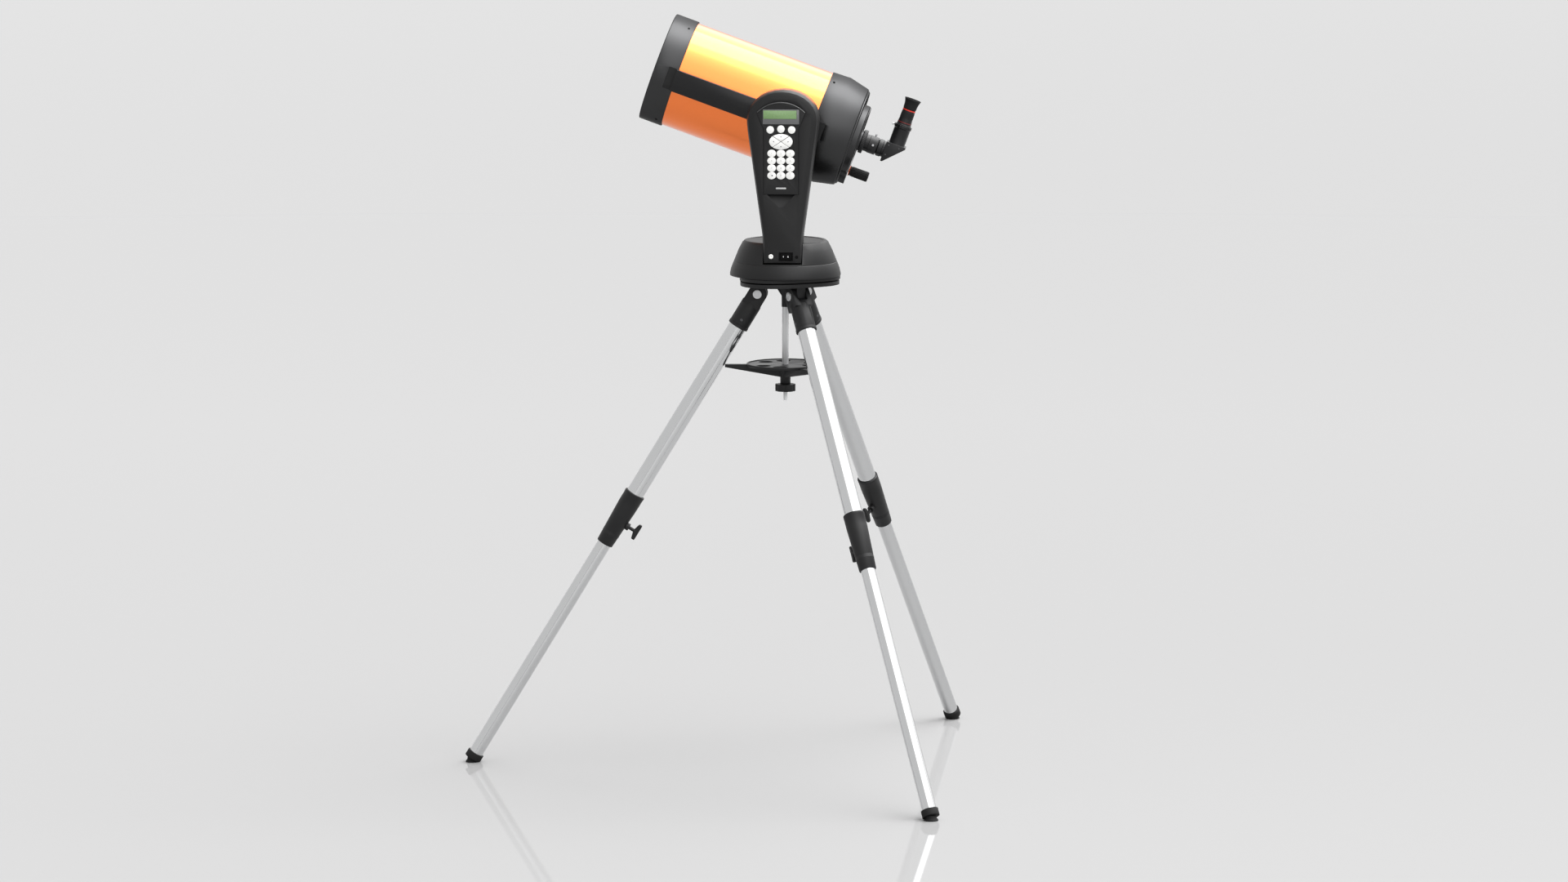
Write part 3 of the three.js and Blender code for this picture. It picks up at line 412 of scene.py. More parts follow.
def optical_tube():
    wall, lining, gap = 1.3, 0.4, 0.1
    low, high = local_range("optical_tube", 0)
    left, right = local_range("optical_tube", 1)
    radius = (right - left) / 2
    skin = along_tube("tube_skin", band_profile(radius - wall, radius, low, high), "optical_assembly",
                      "orange", 144)
    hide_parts("optical_tube")
    inside = radius - wall - gap
    along_tube("black_lining", band_profile(inside - lining, inside, low + 1, high - 1),
               "optical_assembly", "matt", 96)
    # dark sheets of painted shade on the floors of the notches at both ends of the rail
    play, front_length, rear_length = 0.2, 17.8, 21.8
    rail_back, rail_front = local_range("dovetail_rail", 0)
    notch_shade("front_notch_shade", rail_front + play, rail_front + front_length)
    notch_shade("rear_notch_shade", rail_back - rear_length, rail_back - play)


def notch_shade(name, start, end):
    """A thin dark sheet on the floor of the notch that a rail's end leaves in a cell: painted shade in the
    recess.
    """
    rim, flat, count = 117.1, 115.3, 25
    layers = (-0.3, 0.25)
    left, right = local_range("dovetail_rail", 2)
    vertices, faces = [], []
    for x in (start, end):
        for rise in layers:
            for i in range(count):
                z = left + (right - left) * i / (count - 1)
                vertices.append((x, min(flat, math.sqrt(rim * rim - z * z)) + rise, z))
    for i in range(count - 1):
        for layer in (0, 1):
            a = layer * count + i
            faces.append((a, a + 1, a + 1 + 2 * count, a + 2 * count))
        for side in (0, 2 * count):
            faces.append((side + i, side + i + 1, side + count + i + 1, side + count + i))
    for i in (0, count - 1):
        faces.append((i, i + count, i + 3 * count, i + 2 * count))
    piece(name, vertices, faces, TUBE, "optical_assembly", "plastic")


def cells():
    back, front = local_range("front_cell", 0)
    radius = local_range("front_cell", 2)[1]
    clear, seat, face = 104.0, front - 4.9, front - 2.4
    retainer = [(clear - 4.5, seat), (clear, seat), (clear, face), (clear - 3.5, face), (clear - 4.5, seat)]
    along_tube("retaining_ring", retainer, "optical_assembly", "gloss", 128)
    for number in range(6):
        angle = TAU * (number + 0.5) / 6
        spot = (face, (clear - 2.2) * math.cos(angle), (clear - 2.2) * math.sin(angle))
        screw(f"ring_screw_{number + 1}", spot, (1, 0, 0), "optical_assembly", 1.4)
    front_row, rear_row = back + 13, -67
    for number, degrees in enumerate((61, 118, 182, 242, 299)):
        angle = math.radians(degrees)
        out = (0, math.cos(angle), math.sin(angle))
        spot = (front_row, out[1] * (radius - 0.3), out[2] * (radius - 0.3))
        screw(f"front_cell_screw_{number + 1}", spot, out, "optical_assembly", 2.4, "matt")
        spot = (rear_row, out[1] * (radius - 0.6), out[2] * (radius - 0.6))
        screw(f"rear_cell_screw_{number + 1}", spot, out, "optical_assembly", 2.4, "matt")
    flange = [(99.0, -140.7), (103.2, -140.7), (103.2, -143.0), (100.2, -145.0), (97.0, -145.0),
              (97.0, -140.7), (99.0, -140.7)]
    along_tube("rear_flange_ring", flange, "optical_assembly", "cell", 128)
    hub_ring = [(66.0, -156.6), (72.5, -156.6), (72.5, -157.6), (71.0, -158.8), (66.5, -158.8),
                (66.0, -156.6)]
    along_tube("hub_ring", hub_ring, "optical_assembly", "gloss", 96)
    hub_face, circle, first = -156.8, 52, 0.12
    for number in range(3):
        angle = TAU * (number / 3 + first)
        spot = (hub_face, circle * math.cos(angle), circle * math.sin(angle))
        screw(f"hub_screw_{number + 1}", spot, (-1, 0, 0), "optical_assembly", 3.0)


def rear_fittings():
    ring = [(22.4, -162.3), (24.6, -162.3), (25.5, -163.2), (25.5, -169.8), (24.6, -170.8), (19.7, -170.8),
            (19.7, -168.2), (22.4, -168.2), (22.4, -162.3)]
    slip = along_tube("knurled_slip_ring", ring, "coupling_ring", "anodised", 240, ribs=60, depth=0.5,
                      ribbed=(2, 3))
    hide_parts("slip_ring")
    barrel = [(14.0, -164.3), (21.6, -164.3), (21.6, -167.4), (18.4, -167.4), (18.4, -179.0), (19.1, -179.8),
              (19.1, -195.6), (18.4, -197.6), (16.15, -197.6), (16.15, -172.4), (14.0, -172.4),
              (14.0, -164.3)]
    visual = along_tube("visual_back_barrel", barrel, "optical_assembly", "anodised", 72)
    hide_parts("visual_back")
    thumb_screw("visual_screw_side", (-189, 18.4, 2), (0, 1, 0), 7, "optical_assembly")
    thumb_screw("visual_screw_top", (-188, -6, 17.6), (0, -0.3, 0.95), 6, "optical_assembly")


def diagonal():
    collar = [(16.0, -199.3), (17.3, -199.3), (18.6, -200.2), (18.6, -208.5), (17.3, -209.6),
              (17.3, -213.6), (16.0, -213.6), (16.0, -199.3)]
    along_tube("diagonal_collar", collar, "diagonal", "anodised", 64)
    lip = [(16.2, 61.9), (16.2, 54), (17.5, 54), (18.7, 55.2), (18.7, 61), (17.9, 61.9), (16.2, 61.9)]
    place = Matrix.Translation((HOLDER_AT, 0, 0.15))
    piece("holder_lip", *moved(lathe(lip, 72), place), TUBE, "diagonal", "gloss")
    thumb_screw("holder_screw", (HOLDER_AT + 18, 4, 58.4), (0.97, 0.24, 0), 6, "diagonal")
    cheek = 18.9
    for side, word in ((-1, "far"), (1, "near")):
        for number, (x, z) in enumerate(((-220, -8), (-220, 13), (-243, 13))):
            spot = (x, side * cheek, z)
            screw(f"prism_screw_{word}_{number + 1}", spot, (0, side, 0), "diagonal", 1.6, "ink")


def eyepiece():
    at = Matrix.Translation((HOLDER_AT, 0, 0))
    body = [(15.7, 34.1), (15.7, 62.2), (16.0, 62.5), (16.0, 63.6), (15.2, 64.4), (15.2, 66.0), (14.4, 74.5),
            (14.0, 77.0), (13.6, 97.6), (11.2, 98.4), (11.0, 107.7), (8.0, 107.7), (6.5, 104.5), (0, 104.0)]
    made = piece("eyepiece_body", *moved(lathe(body, 64), at), TUBE, "eyepiece", "anodised")
    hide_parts("eyepiece")
    for name, low, high, radius, look in (("lower_band", 67.6, 69.6, 15.15, "dull_red"),
                                          ("upper_band", 95.0, 97.4, 13.95, "red")):
        band = band_profile(radius - 1.6, radius, low, high)
        piece(name, *moved(lathe(band, 64), at), TUBE, "eyepiece", look)
    grip = [(13.3, 77.5), (14.2, 78.0), (14.0, 91.2), (13.3, 91.8), (13.3, 77.5)]
    ribbed = lathe(grip, 192, ribs=32, depth=0.5, ribbed=(1, 2))
    piece("eyepiece_grip", *moved(ribbed, at), TUBE, "eyepiece", "rubber")
    lens = [(6.4, 104.6), (4.5, 105.3), (2.2, 105.7), (0, 105.8)]
    piece("eye_lens", *moved(lathe(lens, 40), at), TUBE, "eyepiece", "gloss")
    cup = [(11.5, 98.6), (13.8, 98.6), (14.1, 101), (14.3, 106), (15.2, 112), (16.6, 117), (18.0, 120.0),
           (17.5, 120.5), (16.6, 119.9), (14.6, 114), (12.8, 108.4), (11.5, 106), (11.5, 98.6)]
    made = piece("eyecup_rubber", *moved(lathe(cup, 72), at), TUBE, "eyepiece", "rubber")
    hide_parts("eyecup")


def focus_knob():
    centre = Vector(JOINTS["focus_turn"]["pos_m"])
    local = TUBE.inverted() @ centre
    shift = (0, local.y, local.z)
    body = [(3.9, -150), (3.9, -158.6), (10.4, -158.9), (10.9, -160.6), (9.9, -161.8), (9.9, -164),
            (10.7, -165), (10.9, -199.4), (10.0, -201.6), (8.2, -202.0), (0, -202.0)]
    made = along_tube("focus_grip", body, "focuser", "rubber", 160, shift, ribs=20, depth=0.8, ribbed=(6, 7))
    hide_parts("focus_knob")
    along_tube("focus_band", band_profile(9.6, 11.2, -158.9, -160.3), "focuser", "amber", 64, shift)


def saddle():
    low, high = local_range("saddle_knob", 2)
    y = sum(local_range("saddle_knob", 1)) / 2
    head = high - 14
    body = [(3.9, high), (3.9, head - 0.6), (9.6, head - 0.8), (13.6, head - 5), (13.8, head - 7),
            (13.8, low + 3), (12.2, low + 0.5), (9, low + 0.1), (0, low + 0.1)]
    knob = lathe(body, 96, ribs=6, depth=2.4, ribbed=(3, 4, 5, 6))
    made = piece("saddle_grip", *moved(knob, Matrix.Translation((0, y, 0))), TUBE, "saddle_screw", "plastic")
    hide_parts("saddle_knob")


optical_tube()
cells()
rear_fittings()
diagonal()
eyepiece()
focus_knob()
saddle()

# ---------------------------------------------------------------- hand controller
HAND_X = ((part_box("menu_key_middle")[0].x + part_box("menu_key_middle")[1].x) / 2 - AXIS_X) / MM
KEY_PLAY = 0.02  # a cap stays this far inside its CAD key
PITCH_SHARE = 0.2493  # pitch of the number keys over the height of their column
DIGIT_HEIGHT = 5.2


def node_middle(node):
    """Middle of a CAD node in millimetres from the azimuth axis, and its half sizes."""
    low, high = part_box(node)
    middle = (low + high) / 2
    return ((middle.x - AXIS_X) / MM, middle.y / MM, middle.z / MM), tuple((high - low) / 2 / MM)


def key_depth(node):
    """The back and the front of a key, in millimetres."""
    low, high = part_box(node)
    return high.y / MM, low.y / MM


def menu_keys():
    for side in ("left", "middle", "right"):
        node = f"menu_key_{side}"
        (x, _, z), (half_x, _, half_z) = node_middle(node)
        back, front = key_depth(node)
        cap = pillow(ring_points(x, z, half_x - KEY_PLAY, half_z - KEY_PLAY, 48), back, front, 1.1)
        made = piece(f"round_key_{side}", *cap, WORLD_MM, node, "white", sharp=40)
        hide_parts(node)


def strip_outline(x, centres, half_x, half_z, count=26):
    """The outline of a column of ovals that run into one another, from the right side, anticlockwise."""
    right = []
    for z in centres:
        for i in range(count + 1):
            angle = math.pi / 2 - math.pi * i / count
            px, pz = half_x * math.cos(angle), z + half_z * math.sin(angle)
            covered = any(abs(pz - other) < half_z and other != z
                          and half_x * math.sqrt(1 - ((pz - other) / half_z) ** 2) > px for other in centres)
            if not covered:
                right.append((max(px, 0.0), pz))
    right.sort(key=lambda point: point[1])
    left = [(-px, pz) for px, pz in reversed(right)][1:-1]
    return [(x + px, pz) for px, pz in right + left]


DIGITS = {"left": "147", "middle": "2580", "right": "369"}


def number_keys():
    for side in ("left", "middle", "right"):
        node = f"number_keys_{side}"
        (x, _, z), (half_x, _, half_z) = node_middle(node)
        back, front = key_depth(node)
        pitch = (2 * half_z) * PITCH_SHARE
        oval = half_z - 1.5 * pitch
        centres = [z + (1.5 - row) * pitch for row in range(4)]
        outline = strip_outline(x, centres, half_x - KEY_PLAY, oval - KEY_PLAY)
        column = pillow(outline, back, front, 1.0)
        made = piece(f"number_column_{side}", *column, WORLD_MM, node, "white", sharp=40)
        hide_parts(node)
        for row, digit in enumerate(DIGITS[side]):
            printed(f"digit_{digit}", digit, (x, front, centres[row]), DIGIT_HEIGHT, node, "print")
        if side == "left":
            dot = lathe([(1.5, 0.0), (1.4, 0.12), (0, 0.14)], 20)
            place = Matrix.Translation((x + 1.2, front, centres[3])) @ turned_to((0, -1, 0))
            piece("back_mark", *moved(dot, place), WORLD_MM, node, "ink")


def printed(name, text, at, height, body, look):
    """One printed sign on a face that looks towards -Y."""
    thickness, lift = 0.04, 0.06
    curve = bpy.data.curves.new(name, "FONT")
    curve.body = text
    curve.align_x = "CENTER"
    curve.align_y = "CENTER"
    curve.size = height * MM
    curve.extrude = thickness * MM
    obj = bpy.data.objects.new(name, curve)
    scene.collection.objects.link(obj)
    obj.rotation_euler = (math.pi / 2, 0, 0)
    obj.location = (AXIS_X + at[0] * MM, (at[1] - lift) * MM, at[2] * MM)
    bpy.context.view_layer.update()
    mesh = bpy.data.meshes.new_from_object(obj.evaluated_get(bpy.context.evaluated_depsgraph_get()))
    mesh.transform(obj.matrix_world)
    bpy.data.objects.remove(obj)
    solid = bpy.data.objects.new(name, mesh)
    scene.collection.objects.link(solid)
    mesh.materials.clear()
    mesh.materials.append(LOOKS[look])
    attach(solid, body)


def rim_distance(ox, oz, dx, dz, half_x, half_z):
    """Distance along a direction from a point inside an ellipse about the origin to its rim."""
    qa = (dx / half_x) ** 2 + (dz / half_z) ** 2
    qb = 2 * (ox * dx / half_x ** 2 + oz * dz / half_z ** 2)
    qc = (ox / half_x) ** 2 + (oz / half_z) ** 2 - 1
    return (-qb + math.sqrt(qb * qb - 4 * qa * qc)) / (2 * qa)


def arrow_pad():
    """The oval pad, cut along its diagonals into four keys, with a triangle on each."""
    gap, rim_play, steps, size = 0.48, 0.05, 18, 1.7
    boxes = {side: node_middle(f"arrow_key_{side}") for side in ("up", "down", "left", "right")}
    top = boxes["up"][0][2] + boxes["up"][1][2]
    bottom = boxes["down"][0][2] - boxes["down"][1][2]
    half_x = (boxes["right"][0][0] + boxes["right"][1][0]) - HAND_X
    half_z, middle_z = (top - bottom) / 2, (top + bottom) / 2
    corner = math.atan2(half_z, half_x)
    for side, degrees in (("right", 0), ("up", 90), ("left", 180), ("down", 270)):
        node = f"arrow_key_{side}"
        back, front = key_depth(node)
        sideways = degrees % 180 == 0
        at = math.radians(degrees)
        spread = corner if sideways else math.pi / 2 - corner
        start = gap / math.sin(spread)
        centre = (HAND_X + start * math.cos(at), middle_z + start * math.sin(at))
        outline = [centre]
        for i in range(steps + 1):
            a = at - spread + 2 * spread * i / steps
            dx, dz = math.cos(a), math.sin(a)
            reach = rim_distance(centre[0] - HAND_X, centre[1] - middle_z, dx, dz, half_x, half_z) - rim_play
            outline.append((centre[0] + reach * dx, centre[1] + reach * dz))
        key = pillow(outline, back, front, 0.14)
        made = piece(f"direction_key_{side}", *key, WORLD_MM, node, "white", sharp=40)
        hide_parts(node)
        out = 0.62 * half_x if sideways else 0.64 * half_z
        cx, cz = HAND_X + out * math.cos(at), middle_z + out * math.sin(at)
        corners = [(cx + size * math.cos(at + turn), cz + size * math.sin(at + turn))
                   for turn in (0, TAU / 3, 2 * TAU / 3)]
        mark = pillow(corners, front + 0.1, front - 0.12, 0.05)
        piece(f"direction_mark_{side}", *mark, WORLD_MM, node, "ink", sharp=40)


def window():
    """The green display and its dark rim, set to the left in the controller's window."""
    low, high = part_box("lcd_window")
    left, right = (low.x - AXIS_X) / MM + 1.2, (high.x - AXIS_X) / MM - 5.4
    bottom, top = low.z / MM + (high.z / MM - low.z / MM) * 0.36, high.z / MM - 2.0
    front, rim = low.y / MM, 0.7
    glass = rounded_box(left, right, bottom, top, 0.8)
    piece("lcd_face", *pillow(glass, front + 0.4, front - 0.12, 0.2), WORLD_MM, "controller", "lcd", sharp=40)
    outer = rounded_box(left - rim, right + rim, bottom - rim, top + rim, 1.2)
    piece("lcd_rim", *pillow(outer, front + 0.4, front - 0.05, 0.2), WORLD_MM, "controller", "ink", sharp=40)


def rounded_box(x0, x1, z0, z1, radius):
    """The outline of an upright box with round corners, anticlockwise from the upper right."""
    steps, points = 5, []
    for cx, cz, start in ((x1 - radius, z1 - radius, 0), (x0 + radius, z1 - radius, 90),
                          (x0 + radius, z0 + radius, 180), (x1 - radius, z0 + radius, 270)):
        for i in range(steps + 1):
            a = math.radians(start + 90 * i / steps)
            points.append((cx + radius * math.cos(a), cz + radius * math.sin(a)))
    return points


def ridge():
    """The raised arch over the window, and a plain raised bar under the keys."""
    margin, rise, drop, width, steps, sides = 0.6, 21.0, 0.7, 2.1, 40, 5
    low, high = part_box("handset_body")
    half = (high.x - low.x) / 2 / MM - margin
    top, bottom, front = high.z / MM, low.z / MM, low.y / MM
    radius = (half ** 2 + rise ** 2) / (2 * rise)
    span = math.asin(half / radius)
    centre_z = top - drop - radius
    section = ((radius, front + 0.3), (radius - 0.3, front - 1.3), (radius - width * 0.5, front - 1.9),
               (radius - width + 0.2, front - 1.3), (radius - width, front + 0.3))
    vertices, faces = [], []
    for i in range(steps + 1):
        a = math.pi / 2 + span - 2 * span * i / steps
        vertices += [(HAND_X + r * math.cos(a), y, centre_z + r * math.sin(a)) for r, y in section]
    for i in range(steps):
        for k in range(sides):
            a, b = i * sides + k, i * sides + (k + 1) % sides
            faces.append((a, b, b + sides, a + sides))
    faces.append(tuple(range(sides))[::-1])
    faces.append(tuple(steps * sides + k for k in range(sides)))
    # the arch's lighter grey is a painted highlight along its ridge
    piece("window_arch", vertices, faces, WORLD_MM, "controller", "edge", sharp=50)
    plate = rounded_box(HAND_X - 11, HAND_X + 11, bottom + 10.8, bottom + 14.2, 1.6)
    bar = pillow(plate, front + 0.2, front - 0.35, 0.3)
    piece("name_plate", *bar, WORLD_MM, "controller", "print", sharp=40)


menu_keys()
number_keys()
arrow_pad()
window()
ridge()


# ---------------------------------------------------------------- fork arm and base
def switch_details():
    """The bezel round the power switch, the marks on its rocker and the jack beside it."""
    (x, _, z), (half_x, _, half_z) = node_middle("power_switch")
    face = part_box("arm_shell")[0].y / MM
    outer = rounded_box(x - half_x - 3.4, x + half_x + 3.4, z - half_z - 2.6, z + half_z + 2.6, 1.5)
    inner = rounded_box(x - half_x - 1.3, x + half_x + 1.3, z - half_z - 0.6, z + half_z + 0.6, 0.8)
    rows = ((outer, face + 0.2), (outer, face - 0.35), (inner, face - 0.35), (inner, face + 0.2))
    vertices = [(px, y, pz) for points, y in rows for px, pz in points]
    faces, count = [], len(outer)
    for level in range(len(rows)):
        for i in range(count):
            after, above = (i + 1) % count, (level + 1) % len(rows)
            faces.append((level * count + i, level * count + after, above * count + after, above * count + i))
    piece("switch_bezel", vertices, faces, WORLD_MM, "mount", "matt", sharp=40)
    tilt, slant = math.radians(8), 1.6 / 11.3
    spin = Matrix.Translation((x, face + 0.4, z)) @ Matrix.Rotation(-tilt, 4, "Z")
    for name, offset, wide in (("off_mark", 5.2, 1.5), ("on_mark", -5.2, 0.5)):
        mark = pillow(ring_points(0, 0, wide + 0.5, 2.0, 20), 0.15, -0.15, 0.08)
        place = spin @ Matrix.Translation((offset, -slant * abs(offset), 0))
        piece(name, *moved(mark, place), WORLD_MM, "switch", "print", sharp=40)
    hole = lathe([(3.4, 0), (3.2, 0.3), (2.4, 0.35), (2.0, 0.1), (0, 0.05)], 24)
    place = Matrix.Translation((x + 22.5, face, z - 1)) @ turned_to((0, -1, 0))
    piece("panel_jack", *moved(hole, place), WORLD_MM, "mount", "matt")


def socket_cap():
    """The round white cap of the power socket, hollow in the middle."""
    (x, _, z), (half, _, _) = node_middle("power_socket")
    front, rim = -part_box("power_socket")[0].y / MM, half - 0.9
    cap = lathe([(rim, front - 1.4), (rim, front - 0.7), (rim - 1.1, front), (2.0, front + 0.1),
                 (1.6, front - 1.0), (0, front - 1.0)], 40)
    place = Matrix.Translation((x, 0, z)) @ turned_to((0, -1, 0))
    made = piece("socket_cap", *moved(cap, place), WORLD_MM, "mount", "white")
    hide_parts("power_socket")


def arm_back():
    """Screws of the inner arm cover and the ring round the altitude shaft."""
    low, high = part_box("arm_cover")
    back, foot, top = high.y / MM, low.z / MM, high.z / MM
    pivot = JOINTS["altitude"]["pos_m"][2] / MM
    ring = [(17.2, 0), (22.5, 0), (22.5, 1.2), (21.6, 1.8), (18.0, 1.8), (17.2, 1.2), (17.2, 0)]
    place = Matrix.Translation((0, back, pivot)) @ turned_to((0, 1, 0))
    piece("shaft_ring", *moved(lathe(ring, 64), place), WORLD_MM, "mount", "gloss")
    spots = ((-52, pivot), (52, pivot), (-34, foot + 150), (34, foot + 150), (0, top - 9),
             (-28, foot + 70), (28, foot + 70))
    for number, (x, z) in enumerate(spots):
        screw(f"cover_screw_{number + 1}", (x, back, z), (0, 1, 0), "mount", 2.6, "screw", WORLD_MM)


switch_details()
socket_cap()
arm_back()


# ---------------------------------------------------------------- tripod
def leg_frame(number):
    """A leg's frame: origin on its hinge, +Z up the leg, +Y along the hinge, in millimetres."""
    fold = JOINTS[f"leg_fold_{number}"]
    across = Vector(fold["axis"]).normalized()
    up = -Vector(JOINTS[f"leg_extend_{number}"]["axis"]).normalized()
    return frame_matrix(Vector(fold["pos_m"]), across.cross(up), across, up)


def round_tube(name, node, matrix, body, wall):
    """A smooth tube in place of a CAD tube that runs along the local Z axis."""
    lip, rows = 0.5, 12
    inverse = matrix.inverted()
    reach = [inverse @ v.co for v in NODES[node].data.vertices]
    low, high = min(v.z for v in reach), max(v.z for v in reach)
    radius = max(math.hypot(v.x, v.y) for v in reach)
    inner = radius - wall
    outer = [(radius, low + lip + (high - low - 2 * lip) * row / rows) for row in range(rows + 1)]
    ends = [(inner + 0.2, low), (radius - lip, low)], [(radius - lip, high), (inner + 0.2, high)]
    profile = ends[0] + outer + ends[1] + [(inner, high - 1), (inner, low + 1), (inner + 0.2, low)]
    made = piece(name, *lathe(profile, 96), matrix, body, "steel", sharp=40)
    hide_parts(node)


def rod_details():
    """The bright centre rod, threaded below the shoulder that stands just over the tray's knob."""
    thread, groove, pitch = 4.5, 0.35, 0.9
    low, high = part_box("center_rod")
    top, bottom = high.z / MM, low.z / MM
    radius = (high.x - low.x) / 2 / MM + 0.4
    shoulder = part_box("tray_knob")[1].z / MM + 3.6
    turns = int((shoulder - bottom - 2) / pitch)
    ridges = [(thread - groove * (i % 2), bottom + 0.8 + pitch * i) for i in range(turns)]
    profile = [(0, bottom), (thread - 0.6, bottom)] + ridges + [(thread, shoulder), (radius - 0.4, shoulder),
              (radius, shoulder + 0.5), (radius, top - 0.4), (radius - 0.4, top), (0, top)]
    made = piece("bright_rod", *lathe(profile, 64), WORLD_MM, "stand", "zinc", sharp=40)
    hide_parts("center_rod")


def hinge_pin(number, leg):
    """The bright pin of a leg's hinge, with a dished head at both ends."""
    half = [(6, 0), (6, 20.05), (9.3, 20.05), (9.3, 22.2), (8.7, 22.9), (5.0, 23.1), (4.5, 22.6),
            (0, 22.6)]
    pin = moved(lathe([(radius, -y) for radius, y in half[:0:-1]] + half, 48), turned_to((0, 1, 0)))
    made = piece(f"bright_pin_{number}", *pin, leg, "stand", "zinc", sharp=40)
    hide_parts(f"hinge_pin_{number}")


def casting_details(number, leg):
    """The two bolts and the lower rim of a leg's casting."""
    cheek, height = 19.4, -64
    bolt = lathe([(3.4, -1.2), (3.4, 1.4), (2.6, 2.1), (0, 2.2)], 24)
    for side, letter in ((-1, "b"), (1, "a")):
        place = Matrix.Translation((0, side * cheek, height)) @ turned_to((0, side, 0))
        piece(f"casting_bolt_{number}_{letter}", *moved(bolt, place), leg, f"leg_{number}", "ink")
    collar = [(21.3, -82.2), (22.2, -81.4), (22.2, -76), (21.3, -75.2), (20.6, -75.2), (20.6, -82.2),
              (21.3, -82.2)]
    piece(f"casting_rim_{number}", *lathe(collar, 72), leg, f"leg_{number}", "cast")


def tripod_details():
    upper_wall, lower_wall = 1.3, 1.2
    rod_details()
    for number in LEGS:
        leg = leg_frame(number)
        upper, lower = f"leg_{number}", f"lower_leg_{number}"
        round_tube(f"upper_leg_tube_{number}", f"upper_tube_{number}", leg, upper, upper_wall)
        round_tube(f"lower_leg_tube_{number}", f"lower_tube_{number}", leg, lower, lower_wall)
        hinge_pin(number, leg)
        casting_details(number, leg)
        sleeve(number, leg)
        grip(number, leg)


def clamp_place(number, leg):
    """Where the clamp screw stands: its height on the leg, with local +X out of the sleeve."""
    at = leg.inverted() @ Vector(JOINTS[f"clamp_turn_{number}"]["pos_m"])
    return Matrix.Translation((0, 0, at.z)) @ Matrix.Rotation(math.pi, 4, "Z")


def sleeve(number, leg):
    """The tapering clamp sleeve with a raised rim, stepped inside, and the short boss of its clamp screw."""
    reach = [(leg.inverted() @ v.co).z for v in NODES[f"clamp_sleeve_{number}"].data.vertices]
    top, bottom, step = max(reach), min(reach), min(reach) + 23.7
    shell = [(19.3, top), (21.8, top), (22.5, top - 0.7), (22.5, top - 6), (22.1, top - 6.6),
             (22.1, top - 30), (18.0, bottom + 0.8), (17.3, bottom), (15.3, bottom), (15.3, step),
             (19.3, step), (19.3, top)]
    boss = lathe([(4.2, 19.6), (8, 19.6), (8, 26.6), (7.3, 27.4), (4.2, 27.4), (4.2, 19.6)], 40)
    place = clamp_place(number, leg) @ Matrix.Rotation(math.pi / 2, 4, "Y")
    parts = joined(lathe(shell, 72), moved(boss, place))
    made = piece(f"leg_sleeve_{number}", *parts, leg, f"leg_{number}", "cast", sharp=40)
    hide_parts(f"clamp_sleeve_{number}")


def grip(number, leg):
    """The T-shaped clamp grip: a bar with a flat outer face and a back that thickens towards the stem."""
    face, thin, swell, half_height, half_length = 50, 3.7, 2.5, 4.2, 18
    half_rows, squareness, bluntness = 12, 0.6, 24
    rows = [math.sin(math.pi / 2 * i / half_rows) for i in range(1 - half_rows, half_rows)]
    unit = lathe([(0, -1)] + [(1, s) for s in rows] + [(0, 1)], 32)
    bar = []
    for x, y, s in unit[0]:
        thick, end = thin + swell * (1 - abs(s)), math.sqrt(max(0.0, 1 - abs(s) ** bluntness))
        x, y = (math.copysign(abs(c) ** squareness, c) * end for c in (x, y))
        bar.append((face - thick + thick * x, half_height * y, half_length * s))
    stem = lathe([(3.7, 20.5), (3.7, 38), (4.6, 41), (4.6, 44), (0, 44)], 32)
    parts = joined((bar, unit[1]), moved(stem, Matrix.Rotation(math.pi / 2, 4, "Y")))
    parts = moved(parts, clamp_place(number, leg))
    made = piece(f"clamp_grip_{number}", *parts, leg, f"clamp_{number}", "plastic", sharp=40)
    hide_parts(f"clamp_knob_{number}")


tripod_details()


# ---------------------------------------------------------------- floor and light
FLOOR_LEVEL = 0.252
FLOOR_GAP = 0.0002  # metres between the feet and the floor, so that no faces coincide


def floor():
    size = 150
    corners = [(-size, -size, 0), (size, -size, 0), (size, size, 0), (-size, size, 0)]
    mesh = bpy.data.meshes.new("floor")
    mesh.from_pydata(corners, [], [(0, 1, 2, 3)])
    obj = bpy.data.objects.new("floor", mesh)
    obj.location.z = CAD_BOX[0].z - FLOOR_GAP
    scene.collection.objects.link(obj)
    material, shader = principled("floor_paint")
    shader.inputs["Base Color"].default_value = grey(FLOOR_LEVEL)
    shader.inputs["Roughness"].default_value = 0.04
    shader.inputs["Specular IOR Level"].default_value = 0.045
    mesh.materials.append(material)


# Brightness of the studio's light dome by angle over the object, in degrees: 0 is level with the front,
# 90 overhead and 180 behind.
DOME = [(0, 0.8), (6, 1.8), (14, 2.35), (34, 2.35), (42, 2.7), (50, 3.0), (62, 3.8), (64, 5.4), (79, 5.6),
        (81, 9.0), (121, 9.0), (123, 4.4), (146, 4.0), (160, 1.6), (170, 0.78), (180, 0.78)]
BACKDROP = 0.765  # what the camera sees instead of the dome
SIDE = 0.8  # the dome's brightness beyond the fades at both sides
SIDE_FADES = ((-0.2, 0.12), (0.9, 0.6))  # where the dome fades in, along X


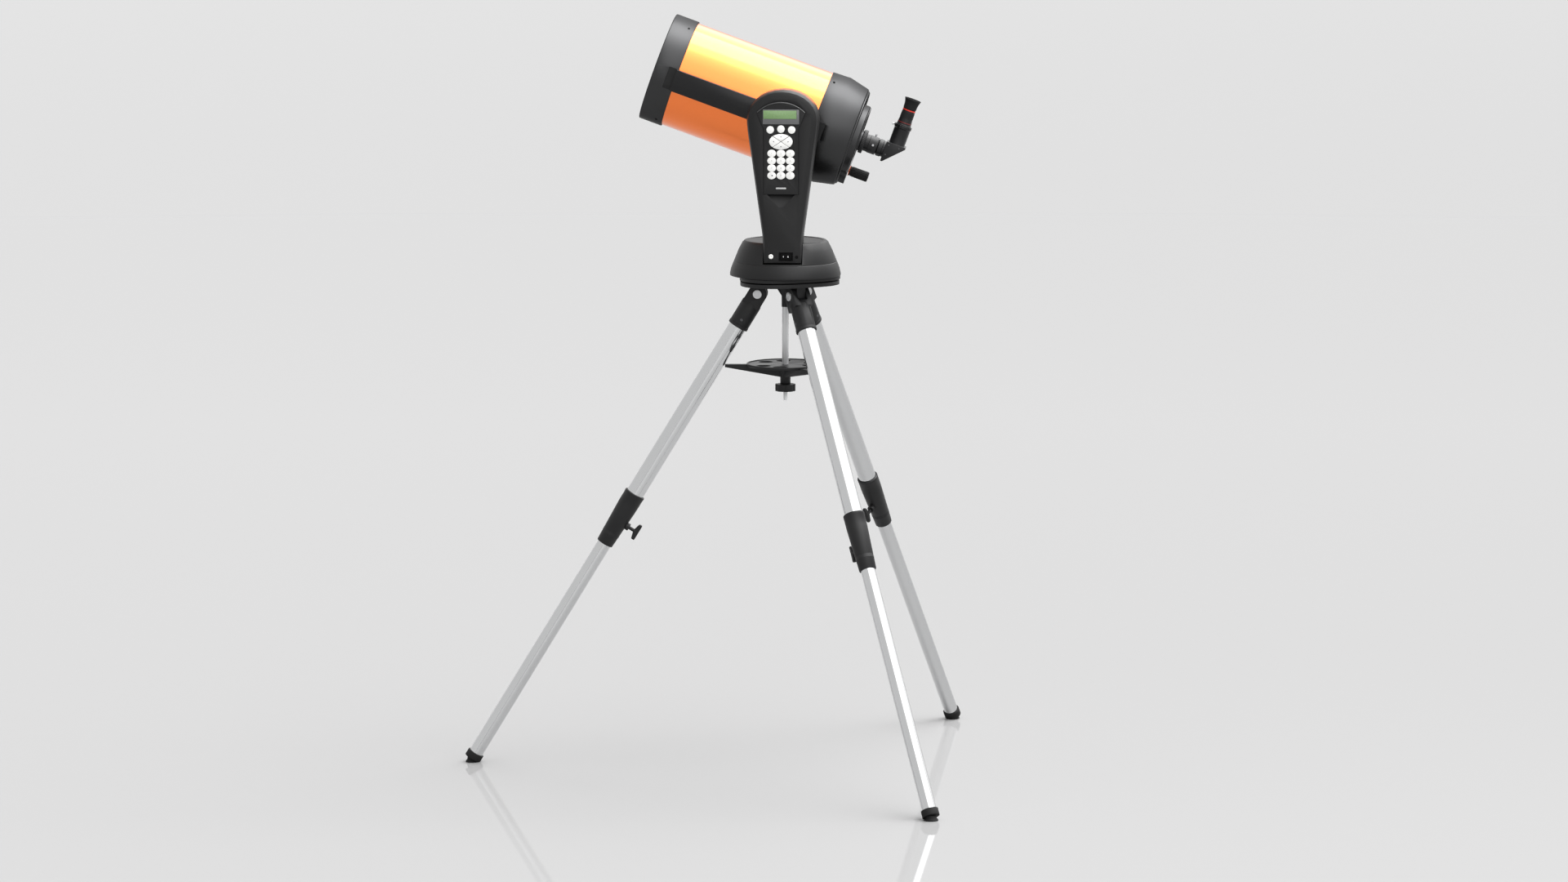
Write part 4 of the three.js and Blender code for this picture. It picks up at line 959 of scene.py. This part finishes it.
def light_dome():
    world = bpy.data.worlds.new("studio")
    scene.world = world
    world.use_nodes = True
    tree = world.node_tree
    new, link = tree.nodes.new, tree.links.new
    out = tree.nodes["Background"]
    where = new("ShaderNodeTexCoord")
    split = new("ShaderNodeSeparateXYZ")
    link(where.outputs["Generated"], split.inputs["Vector"])
    flip = new("ShaderNodeMath")
    flip.operation = "MULTIPLY"
    flip.inputs[1].default_value = -1
    link(split.outputs["Y"], flip.inputs[0])
    angle = new("ShaderNodeMath")
    angle.operation = "ARCTAN2"
    link(split.outputs["Z"], angle.inputs[0])
    link(flip.outputs[0], angle.inputs[1])
    part = new("ShaderNodeMath")
    part.operation = "DIVIDE"
    part.inputs[1].default_value = math.pi
    link(angle.outputs[0], part.inputs[0])
    ramp = new("ShaderNodeValToRGB")
    peak = max(level for _, level in DOME)
    stops = ramp.color_ramp.elements
    while len(stops) < len(DOME):
        stops.new(0.5)
    for stop, (degrees, level) in zip(stops, DOME):
        stop.position = degrees / 180
        stop.color = grey(level / peak)
    link(part.outputs[0], ramp.inputs["Fac"])
    edges = []
    for start, end in SIDE_FADES:
        edge = new("ShaderNodeMapRange")
        edge.interpolation_type = "SMOOTHSTEP"
        edge.inputs["From Min"].default_value = start
        edge.inputs["From Max"].default_value = end
        link(split.outputs["X"], edge.inputs["Value"])
        edges.append(edge)
    strip = new("ShaderNodeMath")
    strip.operation = "MULTIPLY"
    link(edges[0].outputs["Result"], strip.inputs[0])
    link(edges[1].outputs["Result"], strip.inputs[1])
    lit = new("ShaderNodeMix")
    lit.data_type = "RGBA"
    lit.inputs["A"].default_value = grey(SIDE / peak)
    link(strip.outputs[0], lit.inputs["Factor"])
    link(ramp.outputs["Color"], lit.inputs["B"])
    rays = new("ShaderNodeLightPath")
    choose = new("ShaderNodeMix")
    choose.data_type = "RGBA"
    choose.inputs["B"].default_value = grey(BACKDROP / peak)
    link(rays.outputs["Is Camera Ray"], choose.inputs["Factor"])
    link(lit.outputs["Result"], choose.inputs["A"])
    link(choose.outputs["Result"], out.inputs["Color"])
    out.inputs["Strength"].default_value = peak
    world.cycles.sampling_method = "MANUAL"
    world.cycles.sample_map_resolution = 512


floor()
light_dome()
